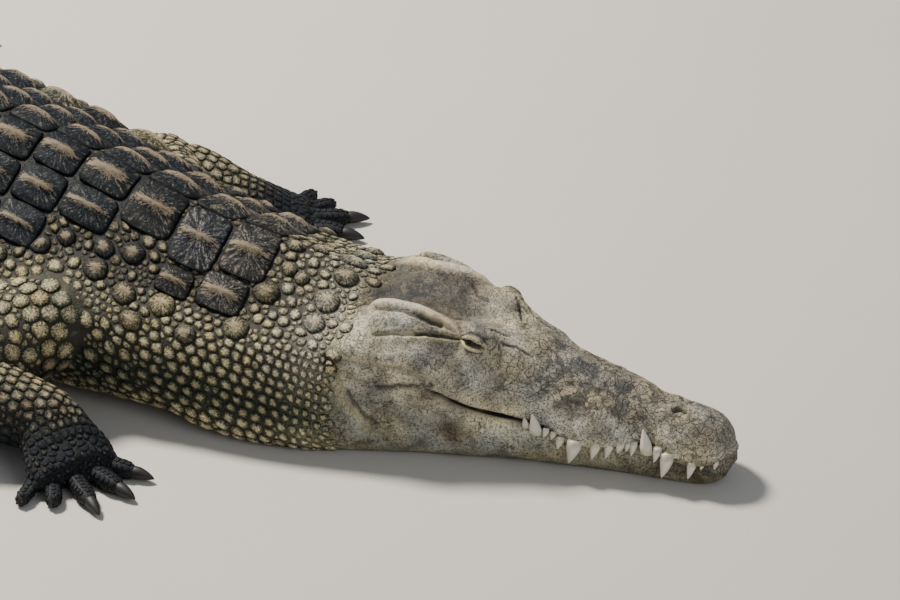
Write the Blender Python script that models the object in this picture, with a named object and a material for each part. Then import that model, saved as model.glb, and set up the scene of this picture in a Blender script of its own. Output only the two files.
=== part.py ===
"""Adult Nile crocodile lying on its belly, parted into named solids.

Metres, +Z up.  The animal faces +X, its right side is towards -Y and the
floor is z = 0.  The body is one loft down a curved spine: every station gives
the half-profile of the animal at that distance from the tip of the snout.
Station rows are written in head lengths, so HEAD_LENGTH scales the animal.
"""
import math

import bmesh
import bpy
import numpy as np
from mathutils import Matrix, Vector

PART_NAME = "nile_crocodile"

# ---- driving sizes -------------------------------------------------------
HEAD_LENGTH = 0.50          # snout tip to the hinge end of the jaw
TOTAL_LENGTH = 6.80         # along the spine, in head lengths
GAP = 0.0003                # clear space between neighbouring solids
EYE_RADIUS = 0.0165
EYE_STATION, EYE_OUT, EYE_HEIGHT = 0.660, 0.109, 0.316      # head lengths
DOUBLE_CREST = (3.56, 5.14, 15)     # first, last station and count of pairs
SINGLE_CREST = (5.25, 6.60, 14)     # first, last station and count
CREST_THICK = 0.011

# Heading of the spine in degrees (0 faces +X, positive turns to the left).
HEADINGS = ((0.00, 9.0), (0.95, 9.0), (1.40, 4.0), (1.90, 0.0), (3.30, 0.0),
            (4.10, -7.0), (4.80, -5.0), (5.70, 9.0), (6.80, 24.0))

# One row per station, in head lengths:
#  s: distance from the snout tip      crown: height at the midline
#  deck, deck_z: edge of the back      side, side_z: widest point (the lip)
#  rim: half-width under the lip       low, low_z: lower flank
#  sole, sole_z: edge and height of the underside
COLUMNS = ("s", "crown", "deck", "deck_z", "side", "side_z", "rim",
           "low", "low_z", "sole", "sole_z")
STATIONS = (
    # tip of the snout and the premaxilla
    (0.000, 0.124, 0.014, 0.120, 0.026, 0.096, 0.018, 0.014, 0.068, 0.008, 0.054),
    (0.012, 0.146, 0.026, 0.139, 0.055, 0.087, 0.043, 0.036, 0.038, 0.022, 0.022),
    (0.035, 0.170, 0.038, 0.160, 0.078, 0.083, 0.064, 0.056, 0.028, 0.038, 0.010),
    (0.080, 0.187, 0.046, 0.176, 0.094, 0.080, 0.076, 0.069, 0.026, 0.050, 0.002),
    (0.125, 0.187, 0.046, 0.175, 0.094, 0.085, 0.078, 0.074, 0.026, 0.056, 0.000),
    # notch of the fourth lower tooth
    (0.195, 0.203, 0.046, 0.189, 0.079, 0.113, 0.087, 0.083, 0.030, 0.062, 0.000),
    # swelling of the maxilla
    (0.250, 0.224, 0.053, 0.206, 0.100, 0.106, 0.089, 0.088, 0.032, 0.068, 0.000),
    (0.345, 0.249, 0.062, 0.228, 0.129, 0.095, 0.109, 0.108, 0.034, 0.080, 0.000),
    (0.400, 0.262, 0.066, 0.241, 0.130, 0.096, 0.123, 0.120, 0.035, 0.088, 0.000),
    (0.440, 0.274, 0.069, 0.252, 0.131, 0.120, 0.133, 0.130, 0.036, 0.094, 0.000),
    (0.530, 0.303, 0.075, 0.290, 0.147, 0.147, 0.154, 0.149, 0.040, 0.110, 0.000),
    (0.590, 0.315, 0.080, 0.321, 0.164, 0.156, 0.168, 0.164, 0.042, 0.126, 0.000),
    # orbits
    (0.630, 0.319, 0.084, 0.349, 0.176, 0.165, 0.178, 0.177, 0.044, 0.138, 0.000),
    (0.680, 0.327, 0.092, 0.359, 0.190, 0.183, 0.192, 0.192, 0.048, 0.152, 0.000),
    (0.730, 0.337, 0.106, 0.357, 0.203, 0.209, 0.205, 0.206, 0.052, 0.166, 0.000),
    # skull table
    (0.780, 0.349, 0.124, 0.367, 0.218, 0.221, 0.220, 0.222, 0.054, 0.180, 0.000),
    (0.840, 0.354, 0.134, 0.374, 0.236, 0.226, 0.238, 0.242, 0.056, 0.200, 0.000),
    (0.895, 0.354, 0.139, 0.373, 0.253, 0.222, 0.254, 0.260, 0.058, 0.220, 0.000),
    (0.950, 0.356, 0.144, 0.352, 0.270, 0.212, 0.271, 0.278, 0.058, 0.238, 0.000),
    # neck
    (1.060, 0.386, 0.160, 0.326, 0.302, 0.196, 0.302, 0.318, 0.044, 0.288, 0.000),
    (1.220, 0.420, 0.184, 0.326, 0.338, 0.186, 0.338, 0.346, 0.042, 0.304, 0.000),
    (1.310, 0.432, 0.195, 0.334, 0.352, 0.184, 0.352, 0.350, 0.046, 0.296, 0.002),
    (1.400, 0.442, 0.206, 0.340, 0.364, 0.184, 0.364, 0.344, 0.060, 0.262, 0.008),
    # shoulders and trunk
    (1.620, 0.482, 0.230, 0.370, 0.402, 0.186, 0.402, 0.364, 0.060, 0.256, 0.004),
    (1.900, 0.530, 0.250, 0.408, 0.454, 0.196, 0.454, 0.406, 0.062, 0.280, 0.000),
    (2.200, 0.564, 0.264, 0.442, 0.516, 0.208, 0.516, 0.454, 0.064, 0.322, 0.000),
    (2.520, 0.580, 0.268, 0.460, 0.536, 0.212, 0.536, 0.472, 0.066, 0.336, 0.000),
    (2.840, 0.568, 0.260, 0.450, 0.494, 0.210, 0.494, 0.434, 0.066, 0.308, 0.000),
    (3.120, 0.532, 0.242, 0.426, 0.418, 0.202, 0.418, 0.368, 0.066, 0.256, 0.000),
    # tail
    (3.400, 0.484, 0.214, 0.396, 0.352, 0.190, 0.352, 0.308, 0.064, 0.214, 0.000),
    (3.740, 0.426, 0.176, 0.368, 0.294, 0.174, 0.294, 0.254, 0.058, 0.170, 0.000),
    (4.160, 0.368, 0.134, 0.336, 0.230, 0.154, 0.230, 0.196, 0.052, 0.126, 0.000),
    (4.620, 0.312, 0.096, 0.296, 0.172, 0.134, 0.172, 0.144, 0.046, 0.088, 0.000),
    (5.080, 0.270, 0.056, 0.254, 0.126, 0.116, 0.126, 0.104, 0.040, 0.060, 0.000),
    (5.540, 0.238, 0.030, 0.214, 0.090, 0.100, 0.090, 0.074, 0.034, 0.042, 0.000),
    (6.000, 0.198, 0.022, 0.176, 0.062, 0.082, 0.062, 0.051, 0.028, 0.029, 0.000),
    (6.420, 0.146, 0.015, 0.128, 0.040, 0.058, 0.040, 0.033, 0.020, 0.018, 0.000),
    (6.700, 0.082, 0.009, 0.070, 0.022, 0.034, 0.022, 0.018, 0.012, 0.010, 0.000),
    (6.800, 0.030, 0.004, 0.026, 0.008, 0.015, 0.008, 0.007, 0.006, 0.005, 0.000),
)

# Where the body is parted: node name, first station, last station, rings.
PARTINGS = (
    ("neck", 1.02, 1.42, 6), ("trunk_front", 1.42, 2.26, 8),
    ("trunk_rear", 2.26, 3.32, 8), ("tail_1", 3.32, 4.03, 5),
    ("tail_2", 4.03, 4.74, 5), ("tail_3", 4.74, 5.45, 5),
    ("tail_4", 5.45, 6.13, 5), ("tail_5", 6.13, 6.80, 5),
)
HEAD_RINGS = (0.0, 0.012, 0.035, 0.080, 0.125, 0.165, 0.195, 0.250, 0.345, 0.40, 0.44,
              0.53, 0.59, 0.63, 0.655, 0.68, 0.705, 0.73, 0.78, 0.84, 0.895, 0.95, 1.02)
SPAN_CUTS = (1, 2, 2, 2, 2, 2, 1, 1)    # pieces of each profile span
LIP = 4                                 # profile point that is the lip

# Teeth: station, length below or above the gum line, radius at the gum.
UPPER_TEETH = ((0.022, 0.011, 0.0034), (0.053, 0.009, 0.0032), (0.078, 0.022, 0.0054),
               (0.141, 0.030, 0.0080), (0.168, 0.018, 0.0054), (0.231, 0.018, 0.0040),
               (0.247, 0.012, 0.0036), (0.266, 0.014, 0.0052), (0.293, 0.021, 0.0057),
               (0.327, 0.022, 0.0064), (0.378, 0.028, 0.0088), (0.416, 0.015, 0.0050),
               (0.434, 0.010, 0.0038), (0.452, 0.011, 0.0040))
LOWER_TEETH = ((0.198, 0.027, 0.0076), (0.478, 0.022, 0.0074), (0.505, 0.011, 0.0044))

TOOTH_LEAN = 0.22           # how far the tips lie behind the roots, per length

# Limbs: joints as (station, distance out, height) and radii, in metres.
LIMBS = {
    "front_right": {"side": -1, "joints": ((0.835, 0.080, 0.115), (0.935, 0.340, 0.088),
                    (0.796, 0.298, 0.054)), "radii": (0.070, 0.058, 0.046),
                    "hand": (0.735, 0.336)},
    "front_left": {"side": 1, "joints": ((0.830, 0.080, 0.115), (0.980, 0.272, 0.084),
                   (0.862, 0.300, 0.046)), "radii": (0.066, 0.043, 0.036),
                   "hand": (0.789, 0.338)},
    "hind_right": {"side": -1, "joints": ((1.560, 0.060, 0.135), (1.395, 0.318, 0.130),
                   (1.545, 0.385, 0.046)), "radii": (0.092, 0.066, 0.038),
                   "hand": (1.465, 0.455)},
    "hind_left": {"side": 1, "joints": ((1.560, 0.060, 0.135), (1.435, 0.330, 0.120),
                  (1.590, 0.372, 0.046)), "radii": (0.092, 0.066, 0.038),
                  "hand": (1.525, 0.455)},
}
# Digits: angle from the axis of the foot, length, radius, clawed.
FRONT_DIGITS = ((36.0, 0.062, 0.0125, True), (15.0, 0.076, 0.0130, True),
                (-6.0, 0.080, 0.0125, True), (-28.0, 0.068, 0.0110, False),
                (-54.0, 0.054, 0.0100, False))
HIND_DIGITS = ((30.0, 0.090, 0.0150, True), (8.0, 0.118, 0.0155, True),
               (-13.0, 0.126, 0.0150, True), (-36.0, 0.108, 0.0120, False))


# ---- curves --------------------------------------------------------------
def slopes(x, y):
    """Slopes of a monotone cubic through the rows of y at the knots x."""
    h = np.diff(x)[:, None]
    d = np.diff(y, axis=0) / h
    m = np.zeros_like(y)
    w1, w2 = 2 * h[1:] + h[:-1], h[1:] + 2 * h[:-1]
    same = d[:-1] * d[1:] > 0
    safe = np.where(same, d[:-1] * d[1:], 1.0)
    m[1:-1] = np.where(same, (w1 + w2) * safe / (w1 * d[1:] + w2 * d[:-1] + 1e-30), 0)
    m[0], m[-1] = d[0], d[-1]
    return m


def hermite(x, y, m, q):
    """Cubic through the knots, read at q."""
    i = np.clip(np.searchsorted(x, q, side="right") - 1, 0, len(x) - 2)
    h = x[i + 1] - x[i]
    t = ((q - x[i]) / h)
    h, t = h[..., None], t[..., None]
    return ((1 + 2 * t) * (1 - t) ** 2 * y[i] + t * (1 - t) ** 2 * h * m[i]
            + t * t * (3 - 2 * t) * y[i + 1] + t * t * (t - 1) * h * m[i + 1])


TABLE = np.array(STATIONS)
TABLE_SLOPES = slopes(TABLE[:, 0], TABLE[:, 1:])
TURNS = np.array(HEADINGS)
TURN_SLOPES = slopes(TURNS[:, 0], TURNS[:, 1:])


def spine_table():
    """Distance, heading and plan position down the spine, in metres."""
    s = np.linspace(0.0, TOTAL_LENGTH, 1441)
    turn = np.radians(hermite(TURNS[:, 0], TURNS[:, 1:], TURN_SLOPES, s)[:, 0])
    step = np.diff(s) * HEAD_LENGTH
    mid = 0.5 * (turn[1:] + turn[:-1])
    x = np.concatenate(([0.0], np.cumsum(-np.cos(mid) * step)))
    y = np.concatenate(([0.0], np.cumsum(-np.sin(mid) * step)))
    shift_x = x[int(len(s) * 2.5 / TOTAL_LENGTH)]
    shift_y = y[int(len(s) * 2.5 / TOTAL_LENGTH)]
    return s * HEAD_LENGTH, turn, x - shift_x, y - shift_y


SPINE = spine_table()


def place(metres, out, z):
    """Point beside the spine: out is positive to the animal's left."""
    turn = np.interp(metres, SPINE[0], SPINE[1])
    x = np.interp(metres, SPINE[0], SPINE[2]) - math.sin(turn) * out
    y = np.interp(metres, SPINE[0], SPINE[3]) + math.cos(turn) * out
    return Vector((x, y, z))


def profile(s):
    """Control points of the half-profile (out, up) at station s, in metres."""
    row = hermite(TABLE[:, 0], TABLE[:, 1:], TABLE_SLOPES, np.array([s]))[0]
    crown, deck, deck_z, side, side_z, rim, low, low_z, sole, sole_z = row * HEAD_LENGTH
    upper = [(0, crown), (deck * 0.55, crown * 0.55 + deck_z * 0.45), (deck, deck_z),
             (deck + (side - deck) * 0.70, side_z + (deck_z - side_z) * 0.62),
             (side, side_z)]
    lower = [(rim, side_z), (low, low_z), (sole, sole_z), (sole * 0.5, sole_z),
             (0, sole_z)]
    return np.array(upper), np.array(lower)


def smooth(points, before, after, cuts):
    """Curve through the points, each span cut into the given pieces."""
    full = np.vstack((before, points, after))
    knot = np.concatenate(([0], np.cumsum(
        np.sqrt(np.linalg.norm(np.diff(full, axis=0), axis=1)) + 1e-6)))
    tangent = ((full[2:] - full[1:-1]) / (knot[2:] - knot[1:-1])[:, None]
               + (full[1:-1] - full[:-2]) / (knot[1:-1] - knot[:-2])[:, None]
               - (full[2:] - full[:-2]) / (knot[2:] - knot[:-2])[:, None])
    out = []
    for i, pieces in enumerate(cuts):
        q = knot[i + 1] + (knot[i + 2] - knot[i + 1]) * np.arange(pieces) / pieces
        out.append(hermite(knot[1:-1], points, tangent, q))
    out.append(points[-1:])
    return np.vstack(out)


def half_curves(s):
    """Upper and lower half-profile as smooth polylines."""
    upper, lower = profile(s)
    step = upper[LIP] - upper[LIP - 1]
    top = smooth(upper, (-upper[1][0], upper[1][1]), upper[LIP] + (lower[1] - lower[0]),
                 SPAN_CUTS[:LIP])
    base = smooth(lower, lower[0] - step, (-lower[3][0], lower[3][1]), SPAN_CUTS[LIP:])
    floor = lower[-1][1]
    base[:, 1] = np.maximum(base[:, 1], floor)
    top[:, 0], base[:, 0] = np.maximum(top[:, 0], 0), np.maximum(base[:, 0], 0)
    return top, base


def grown(line, amount):
    """Closed outline moved outwards by amount along its own normals."""
    nxt, prv = np.roll(line, -1, axis=0), np.roll(line, 1, axis=0)
    d = nxt - prv
    normal = np.stack((d[:, 1], -d[:, 0]), axis=1)
    normal /= np.maximum(np.linalg.norm(normal, axis=1), 1e-9)[:, None]
    return line + normal * amount


def outline(s, kind="whole"):
    """Closed outline (out, up) at station s, running from the left round."""
    top, base = half_curves(s)
    if kind == "upper":
        half = top.copy()
        half[-1, 1] += GAP / 2
        return np.vstack((half[::-1], half[1:] * (-1, 1)))
    if kind == "lower":
        half = base.copy()
        half[0, 1] -= GAP / 2
        return np.vstack((half * (-1, 1), half[-2::-1]))
    half = np.vstack((top, base[1:]))
    return np.vstack((half[::-1], half[1:-1] * (-1, 1)))


def ring(s, kind="whole", grow=0.0, shift=0.0):
    """Outline at station s as points in space."""
    line = outline(s, kind)
    if grow:
        line = grown(line, grow)
    return [place(s * HEAD_LENGTH + shift, o, z) for o, z in line]


# ---- mesh helpers --------------------------------------------------------
def clear_scene():
    for item in list(bpy.data.objects):
        bpy.data.objects.remove(item, do_unlink=True)
    for mesh in list(bpy.data.meshes):
        bpy.data.meshes.remove(mesh)


def collection(name, hidden=False):
    made = bpy.data.collections.new(name)
    bpy.context.scene.collection.children.link(made)
    made.hide_render = hidden
    return made


def finish_mesh(bm, name, home):
    bmesh.ops.remove_doubles(bm, verts=bm.verts, dist=0.00001)
    bmesh.ops.dissolve_degenerate(bm, edges=bm.edges, dist=0.00001)
    bmesh.ops.triangulate(bm, faces=bm.faces[:])
    bmesh.ops.recalc_face_normals(bm, faces=bm.faces)
    mesh = bpy.data.meshes.new(name)
    bm.to_mesh(mesh)
    bm.free()
    if sum_volume(mesh) < 0:
        mesh.flip_normals()
    made = bpy.data.objects.new(name, mesh)
    home.objects.link(made)
    return made


def sum_volume(mesh):
    total = 0.0
    for poly in mesh.polygons:
        a, b, c = (mesh.vertices[i].co for i in poly.vertices[:3])
        total += a.dot(b.cross(c)) / 6.0
    return total


def loft(rings, name, home):
    """Closed skin over rings that all have the same number of points."""
    bm = bmesh.new()
    rows = [[bm.verts.new(p) for p in line] for line in rings]
    count = len(rows[0])
    for a, b in zip(rows[:-1], rows[1:]):
        for i in range(count):
            j = (i + 1) % count
            bm.faces.new((a[i], a[j], b[j], b[i]))
    bm.faces.new(rows[0][::-1])
    bm.faces.new(rows[-1])
    return finish_mesh(bm, name, home)


def combine(target, tool, operation):
    """Boolean with the exact solver, applied, the tool removed."""
    bpy.context.view_layer.objects.active = target
    step = target.modifiers.new(operation.lower(), "BOOLEAN")
    step.operation, step.solver, step.object = operation, "EXACT", tool
    step.show_viewport = step.show_render = True
    with bpy.context.temp_override(object=target, active_object=target):
        bpy.ops.object.modifier_apply(modifier=step.name)


def drop(item):
    bpy.data.objects.remove(item, do_unlink=True)


# ---- body ----------------------------------------------------------------
def stations_between(first, last, count):
    return [first + (last - first) * i / (count - 1) for i in range(count)]


def body_rings(first, last, count, grow=0.0):
    """Rings of one length of body, its ends drawn in by half a gap."""
    spots = stations_between(first, last, count)
    half = GAP / 2 / HEAD_LENGTH
    spots[0], spots[-1] = first + half, last - half
    return [ring(s, grow=grow) for s in spots]


def build_body(parts):
    made = {}
    for name, first, last, count in PARTINGS:
        made[name] = loft(body_rings(first, last, count), name, parts)
    for name, kind in (("head", "upper"), ("lower_jaw", "lower")):
        spots = list(HEAD_RINGS)
        spots[-1] -= GAP / 2 / HEAD_LENGTH
        made[name] = loft([ring(s, kind) for s in spots], name, parts)
    return made


def crest_scute(spot, out, tall, long, lean, name, home):
    """One upright scute of the tail: a thin fin rising to the rear."""
    row = hermite(TABLE[:, 0], TABLE[:, 1:], TABLE_SLOPES, np.array([spot]))[0]
    base = (row[0] if out == 0 else row[2]) * HEAD_LENGTH - 0.014
    metres = spot * HEAD_LENGTH
    half = CREST_THICK / 2
    bm = bmesh.new()
    verts = []
    for along, high, thick in ((-0.5, 0.0, 1.0), (0.5, 0.0, 1.0), (0.56, 1.0, 0.36),
                               (-0.42, 0.42, 0.7)):
        for sign in (-1, 1):
            spread = out + sign * half * thick + (lean * high * tall if out else 0)
            verts.append(bm.verts.new(place(metres + along * long, spread,
                                            base + (0.014 + tall) * high)))
    left, right = verts[0::2], verts[1::2]
    bm.faces.new(left)
    bm.faces.new(right[::-1])
    for i in range(4):
        j = (i + 1) % 4
        bm.faces.new((left[i], right[i], right[j], left[j]))
    return finish_mesh(bm, name, home)


def add_crests(made, cutters):
    """Double crest on the root of the tail, single crest behind it."""
    spans = {name: (first, last) for name, first, last, _ in PARTINGS}
    jobs = []
    first, last, count = DOUBLE_CREST
    for i, s in enumerate(stations_between(first, last, count)):
        rise = 0.010 + 0.022 * math.sin(math.pi * 0.5 * i / (count - 1))
        edge = float(np.interp(s, TABLE[:, 0], TABLE[:, 2])) * HEAD_LENGTH * 0.92
        jobs += [(s, edge, rise, 0.18), (s, -edge, rise, -0.18)]
    first, last, count = SINGLE_CREST
    for i, s in enumerate(stations_between(first, last, count)):
        jobs.append((s, 0.0, 0.038 * (1.0 - 0.62 * i / (count - 1)), 0.0))
    for index, (s, out, rise, lean) in enumerate(jobs):
        home = next(n for n, (a, b) in spans.items() if a <= s < b)
        long = 0.034 if out else 0.030
        low, high = (v * HEAD_LENGTH for v in spans[home])
        at = min(max(s * HEAD_LENGTH, low + long * 0.62 + 0.001),
                 high - long * 0.64 - 0.001) / HEAD_LENGTH
        tool = crest_scute(at, out, rise, long, lean, "crest_%02d" % index, cutters)
        combine(made[home], tool, "UNION")
        drop(tool)


# ---- head details --------------------------------------------------------
def cone(centre, axis, length, radius, sunk, inward, name, home, sides=5):
    """Tooth: a blunt curved cone standing on the gum, its root sunk in it."""
    bm = bmesh.new()
    axis = axis.normalized()
    across = axis.orthogonal().normalized()
    other = axis.cross(across)
    rows = []
    for along, size in ((-sunk, 0.95), (0.0, 1.0), (length * 0.70, 0.62)):
        centre_here = centre + axis * along + (inward if along < 0 else Vector())
        rows.append([bm.verts.new(centre_here + (across * math.cos(a) + other * math.sin(a))
                                  * radius * size)
                     for a in (2 * math.pi * k / sides for k in range(sides))])
    tip = bm.verts.new(centre + axis * length)
    for a, b in zip(rows[:-1], rows[1:]):
        for i in range(sides):
            j = (i + 1) % sides
            bm.faces.new((a[i], a[j], b[j], b[i]))
    for i in range(sides):
        bm.faces.new((rows[-1][i], rows[-1][(i + 1) % sides], tip))
    bm.faces.new(rows[0][::-1])
    return finish_mesh(bm, name, home)


def lip_point(s, upper):
    top, base = half_curves(s)
    return top[-1] if upper else base[0]


def add_teeth(made, cutters):
    """Teeth that show outside the closed mouth, joined to their own jaw."""
    for upper, rows, home in ((True, UPPER_TEETH, "head"), (False, LOWER_TEETH, "lower_jaw")):
        for index, (s, length, radius) in enumerate(rows):
            up, low = lip_point(s, True), lip_point(s, False)
            for side in (-1, 1):
                if upper:
                    seat = up[0] - radius - 0.0012
                    out = max(seat, low[0] + radius * 1.15 + 0.0010)
                    root = place(s * HEAD_LENGTH, side * out, up[1] + 0.0005)
                    axis, sunk = Vector((0, 0, -1)), 0.010
                else:
                    seat = low[0] - radius * 0.9
                    out = max(seat, up[0] + radius * 1.15 + 0.0010)
                    root = place(s * HEAD_LENGTH, side * out, up[1] - 0.005)
                    axis, sunk = Vector((0, 0, 1)), 0.012
                inward = place(s * HEAD_LENGTH, side * seat, root.z) - root
                back = place(s * HEAD_LENGTH + 0.01, 0, 0) - place(s * HEAD_LENGTH, 0, 0)
                axis += back.normalized() * TOOTH_LEAN
                tool = cone(root, axis, length, radius, sunk, inward,
                            "tooth_%s_%02d" % (home, index), cutters)
                combine(made[home], tool, "UNION")
                drop(tool)


def add_eyes(made, parts, cutters):
    """Eyeballs seated in sockets under the brows."""
    for side, name in ((-1, "eye_right"), (1, "eye_left")):
        centre = place(EYE_STATION * HEAD_LENGTH, side * EYE_OUT * HEAD_LENGTH,
                       EYE_HEIGHT * HEAD_LENGTH)
        for grow, label, home in ((GAP, "socket", cutters), (0.0, name, parts)):
            bm = bmesh.new()
            bmesh.ops.create_icosphere(bm, subdivisions=2, radius=EYE_RADIUS + grow,
                                       matrix=Matrix.Translation(centre))
            ball = finish_mesh(bm, label, home)
            if label == "socket":
                combine(made["head"], ball, "DIFFERENCE")
                drop(ball)
            else:
                made[name] = ball


# ---- limbs ---------------------------------------------------------------
def frame_at(axis, up=Vector((0, 0, 1))):
    """Two directions across an axis: level and upright."""
    level = axis.cross(up)
    if level.length < 1e-4:
        level = Vector((1, 0, 0))
    level.normalize()
    return level, level.cross(axis).normalized()


def tube(rows, name, home, sides=10):
    """Rows are (centre, axis, wide, tall): elliptical rings across the axis."""
    rings = []
    for centre, axis, wide, tall in rows:
        level, upright = frame_at(axis.normalized())
        rings.append([centre + level * (math.cos(a) * wide) + upright * (math.sin(a) * tall)
                      for a in (2 * math.pi * k / sides for k in range(sides))])
    return loft(rings, name, home)


def segment_rows(start, end, sizes, grow=0.0):
    """Rings of one tapered muscle with a rounded far end."""
    along = end - start
    run = along.length
    along.normalize()
    rows = []
    for t, swell in ((0, 0.62), (0.25, 1.04), (0.55, 1.05), (0.85, 0.99), (1.0, 0.94)):
        size = (sizes[0] * (1 - t) + sizes[1] * t) * swell + grow
        rows.append((start + along * run * t, along, size * 1.04, size * 0.94))
    for beyond, swell in ((0.50, 0.78), (0.78, 0.42)):
        size = sizes[1] * swell + grow
        rows.append((end + along * (sizes[1] * beyond + grow), along,
                     size * 1.04, size * 0.94))
    return rows


def ground_cut(item, cutters):
    """Flat under whatever would pass below the floor."""
    bm = bmesh.new()
    bmesh.ops.create_cube(bm, size=1.0, matrix=Matrix.Translation((0, 0, -0.5))
                          @ Matrix.Diagonal((8, 8, 1, 1)))
    slab = finish_mesh(bm, "ground", cutters)
    combine(item, slab, "DIFFERENCE")
    drop(slab)


def digit_rows(root, heading, length, radius, clawed):
    """Rings of one toe lying along the ground from the palm."""
    rows = []
    reach = length + 0.022
    for t, size, lift in ((0.0, 1.18, 1.45), (0.45, 1.10, 1.20),
                          (0.80, 0.98, 1.0), (1.0, 0.72 if clawed else 0.40, 0.92)):
        rows.append((root + heading * (reach * t - 0.022)
                     + Vector((0, 0, radius * 0.92 * lift - root.z)),
                     heading, radius * size, radius * size * 0.92))
    return rows


def claw(tip, heading, radius, name, parts):
    """Blunt curved nail in front of a toe."""
    rows = []
    for t, size, fall in ((0.0, 0.66, 0.0), (0.35, 0.58, 0.0), (0.7, 0.40, 0.12),
                          (1.0, 0.12, 0.34)):
        high = max(tip.z - fall * radius * 1.2, radius * size * 0.8 + 0.0006)
        rows.append((Vector((tip.x, tip.y, high)) + heading * (0.026 * t + GAP),
                     heading, radius * size, radius * size * 0.8))
    return tube(rows, name, parts, sides=5)


def palm_rows(wrist, flat, heading, size, wide):
    """Rings of the palm, from inside the wrist to the roots of the toes."""
    drop_to = Vector((0, 0, wrist.z))
    return [(wrist + heading * size * 0.05, heading, size * 0.62, size * 0.60),
            (wrist + flat * 0.20 - drop_to * 0.08, heading, size * 1.02, size * 0.90),
            (wrist + flat * 0.45 - drop_to * 0.26, heading, size * 1.12, size * 0.78),
            (wrist + flat * 0.78 - drop_to * 0.50, heading, size * wide, size * 0.58),
            (wrist + flat * 1.10 - drop_to * 0.62, heading, size * wide * 0.94,
             size * 0.42)]


def build_foot(key, spec, joints, made, parts, cutters):
    """Palm with its toes, joined into one solid, and its separate claws."""
    front = key.startswith("front")
    side, wrist = spec["side"], joints[2]
    reach = place(spec["hand"][0], side * spec["hand"][1], 0.0)
    flat = Vector((reach.x - wrist.x, reach.y - wrist.y, 0.0))
    heading = flat.normalized()
    size = spec["radii"][2]
    foot = tube(palm_rows(wrist, flat, heading, size, 1.34 if front else 1.42),
                key + "_foot", parts, sides=10)
    across = Vector((-heading.y, heading.x, 0)) * -side
    for index, row in enumerate(FRONT_DIGITS if front else HIND_DIGITS):
        angle, length, radius, clawed = row
        turned = Matrix.Rotation(math.radians(-side * angle), 3, "Z") @ heading
        root = wrist + flat * 0.80 + across * (size * 0.95 * angle / 50.0)
        root = Vector((root.x, root.y, 0))
        tool = tube(digit_rows(root, turned, length, radius, clawed), "toe", cutters, sides=6)
        combine(foot, tool, "UNION")
        drop(tool)
        if clawed:
            name = "claw_%s_%d" % (key, index + 1)
            tip = root + turned * length + Vector((0, 0, radius * 0.92 * 0.92))
            made[name] = claw(tip, turned, radius, name, parts)
    made[key + "_foot"] = foot
    return foot


def build_limb(key, made, parts, cutters, trunk_tool):
    """Upper and lower limb and foot, each trimmed clear of its neighbour."""
    spec = LIMBS[key]
    joints = [place(s, spec["side"] * out, z) for s, out, z in spec["joints"]]
    big, mid, thin = spec["radii"]
    upper_name, lower_name = (("_upper_arm", "_forearm") if key.startswith("front")
                              else ("_thigh", "_shin"))
    first = (joints[0], joints[1], (big, mid))
    second = (joints[1] + (joints[2] - joints[1]) * 0.06, joints[2], (mid * 0.94, thin))
    upper = tube(segment_rows(*first), key + upper_name, parts)
    lower = tube(segment_rows(*second), key + lower_name, parts)
    foot = build_foot(key, spec, joints, made, parts, cutters)
    for item, rows in ((lower, first), (foot, second), (foot, first)):
        tool = tube(segment_rows(*rows, grow=GAP * 1.2), "trim", cutters)
        combine(item, tool, "DIFFERENCE")
        drop(tool)
    for item in (upper, lower):
        combine(item, trunk_tool, "DIFFERENCE")
    for item in (upper, lower, foot):
        ground_cut(item, cutters)
    made[key + upper_name], made[key + lower_name] = upper, lower


def trunk_cutter(name, spans, cutters):
    """The trunk's own shape grown by the gap, to trim the limbs to it."""
    spots = []
    for first, last, count in spans:
        spots += stations_between(first, last, count)[0 if not spots else 1:]
    return loft([ring(s, grow=GAP * 1.15) for s in spots], name, cutters)


def tidy(item):
    """Merge flat neighbours left by the cuts and triangulate afresh."""
    bm = bmesh.new()
    bm.from_mesh(item.data)
    bmesh.ops.dissolve_limit(bm, angle_limit=math.radians(0.4), verts=bm.verts,
                             edges=bm.edges, use_dissolve_boundaries=False)
    bmesh.ops.triangulate(bm, faces=bm.faces[:])
    bm.to_mesh(item.data)
    bm.free()


# ---- materials -----------------------------------------------------------
FLESH = (0.16, 0.15, 0.11, 1.0)
JAW = (0.24, 0.22, 0.16, 1.0)
EYE = (0.42, 0.36, 0.14, 1.0)
HORN = (0.05, 0.045, 0.04, 1.0)


def paint(item):
    name = item.name
    tone = FLESH
    if name.startswith("eye"):
        tone = EYE
    elif name.startswith("claw"):
        tone = HORN
    elif name in ("head", "lower_jaw"):
        tone = JAW
    finish = bpy.data.materials.new(name + "_finish")
    finish.use_nodes = True
    shader = finish.node_tree.nodes["Principled BSDF"]
    shader.inputs["Base Color"].default_value = tone
    shader.inputs["Roughness"].default_value = 0.25 if name.startswith("eye") else 0.6
    finish.diffuse_color = tone
    item.data.materials.clear()
    item.data.materials.append(finish)
    for poly in item.data.polygons:
        poly.use_smooth = True


def build():
    clear_scene()
    parts = collection(PART_NAME)
    cutters = collection("cutters", hidden=True)
    made = build_body(parts)
    add_crests(made, cutters)
    add_teeth(made, cutters)
    add_eyes(made, parts, cutters)
    spans = [(a, b, n) for _, a, b, n in PARTINGS]
    for keys, picked in ((("front_right", "front_left"), spans[0:3]),
                         (("hind_right", "hind_left"), spans[1:4])):
        tool = trunk_cutter("trunk_tool", picked, cutters)
        tool.display_type = "WIRE"
        for key in keys:
            build_limb(key, made, parts, cutters, tool)
        drop(tool)
    for item in parts.objects:
        tidy(item)
        paint(item)


build()
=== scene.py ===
"""Life-size Nile crocodile at rest: skin, scales, eyes, teeth, claws and a plain studio."""
import math

import bpy
import numpy as np
from mathutils import Matrix, Vector, kdtree, noise
from mathutils.bvhtree import BVHTree


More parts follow.
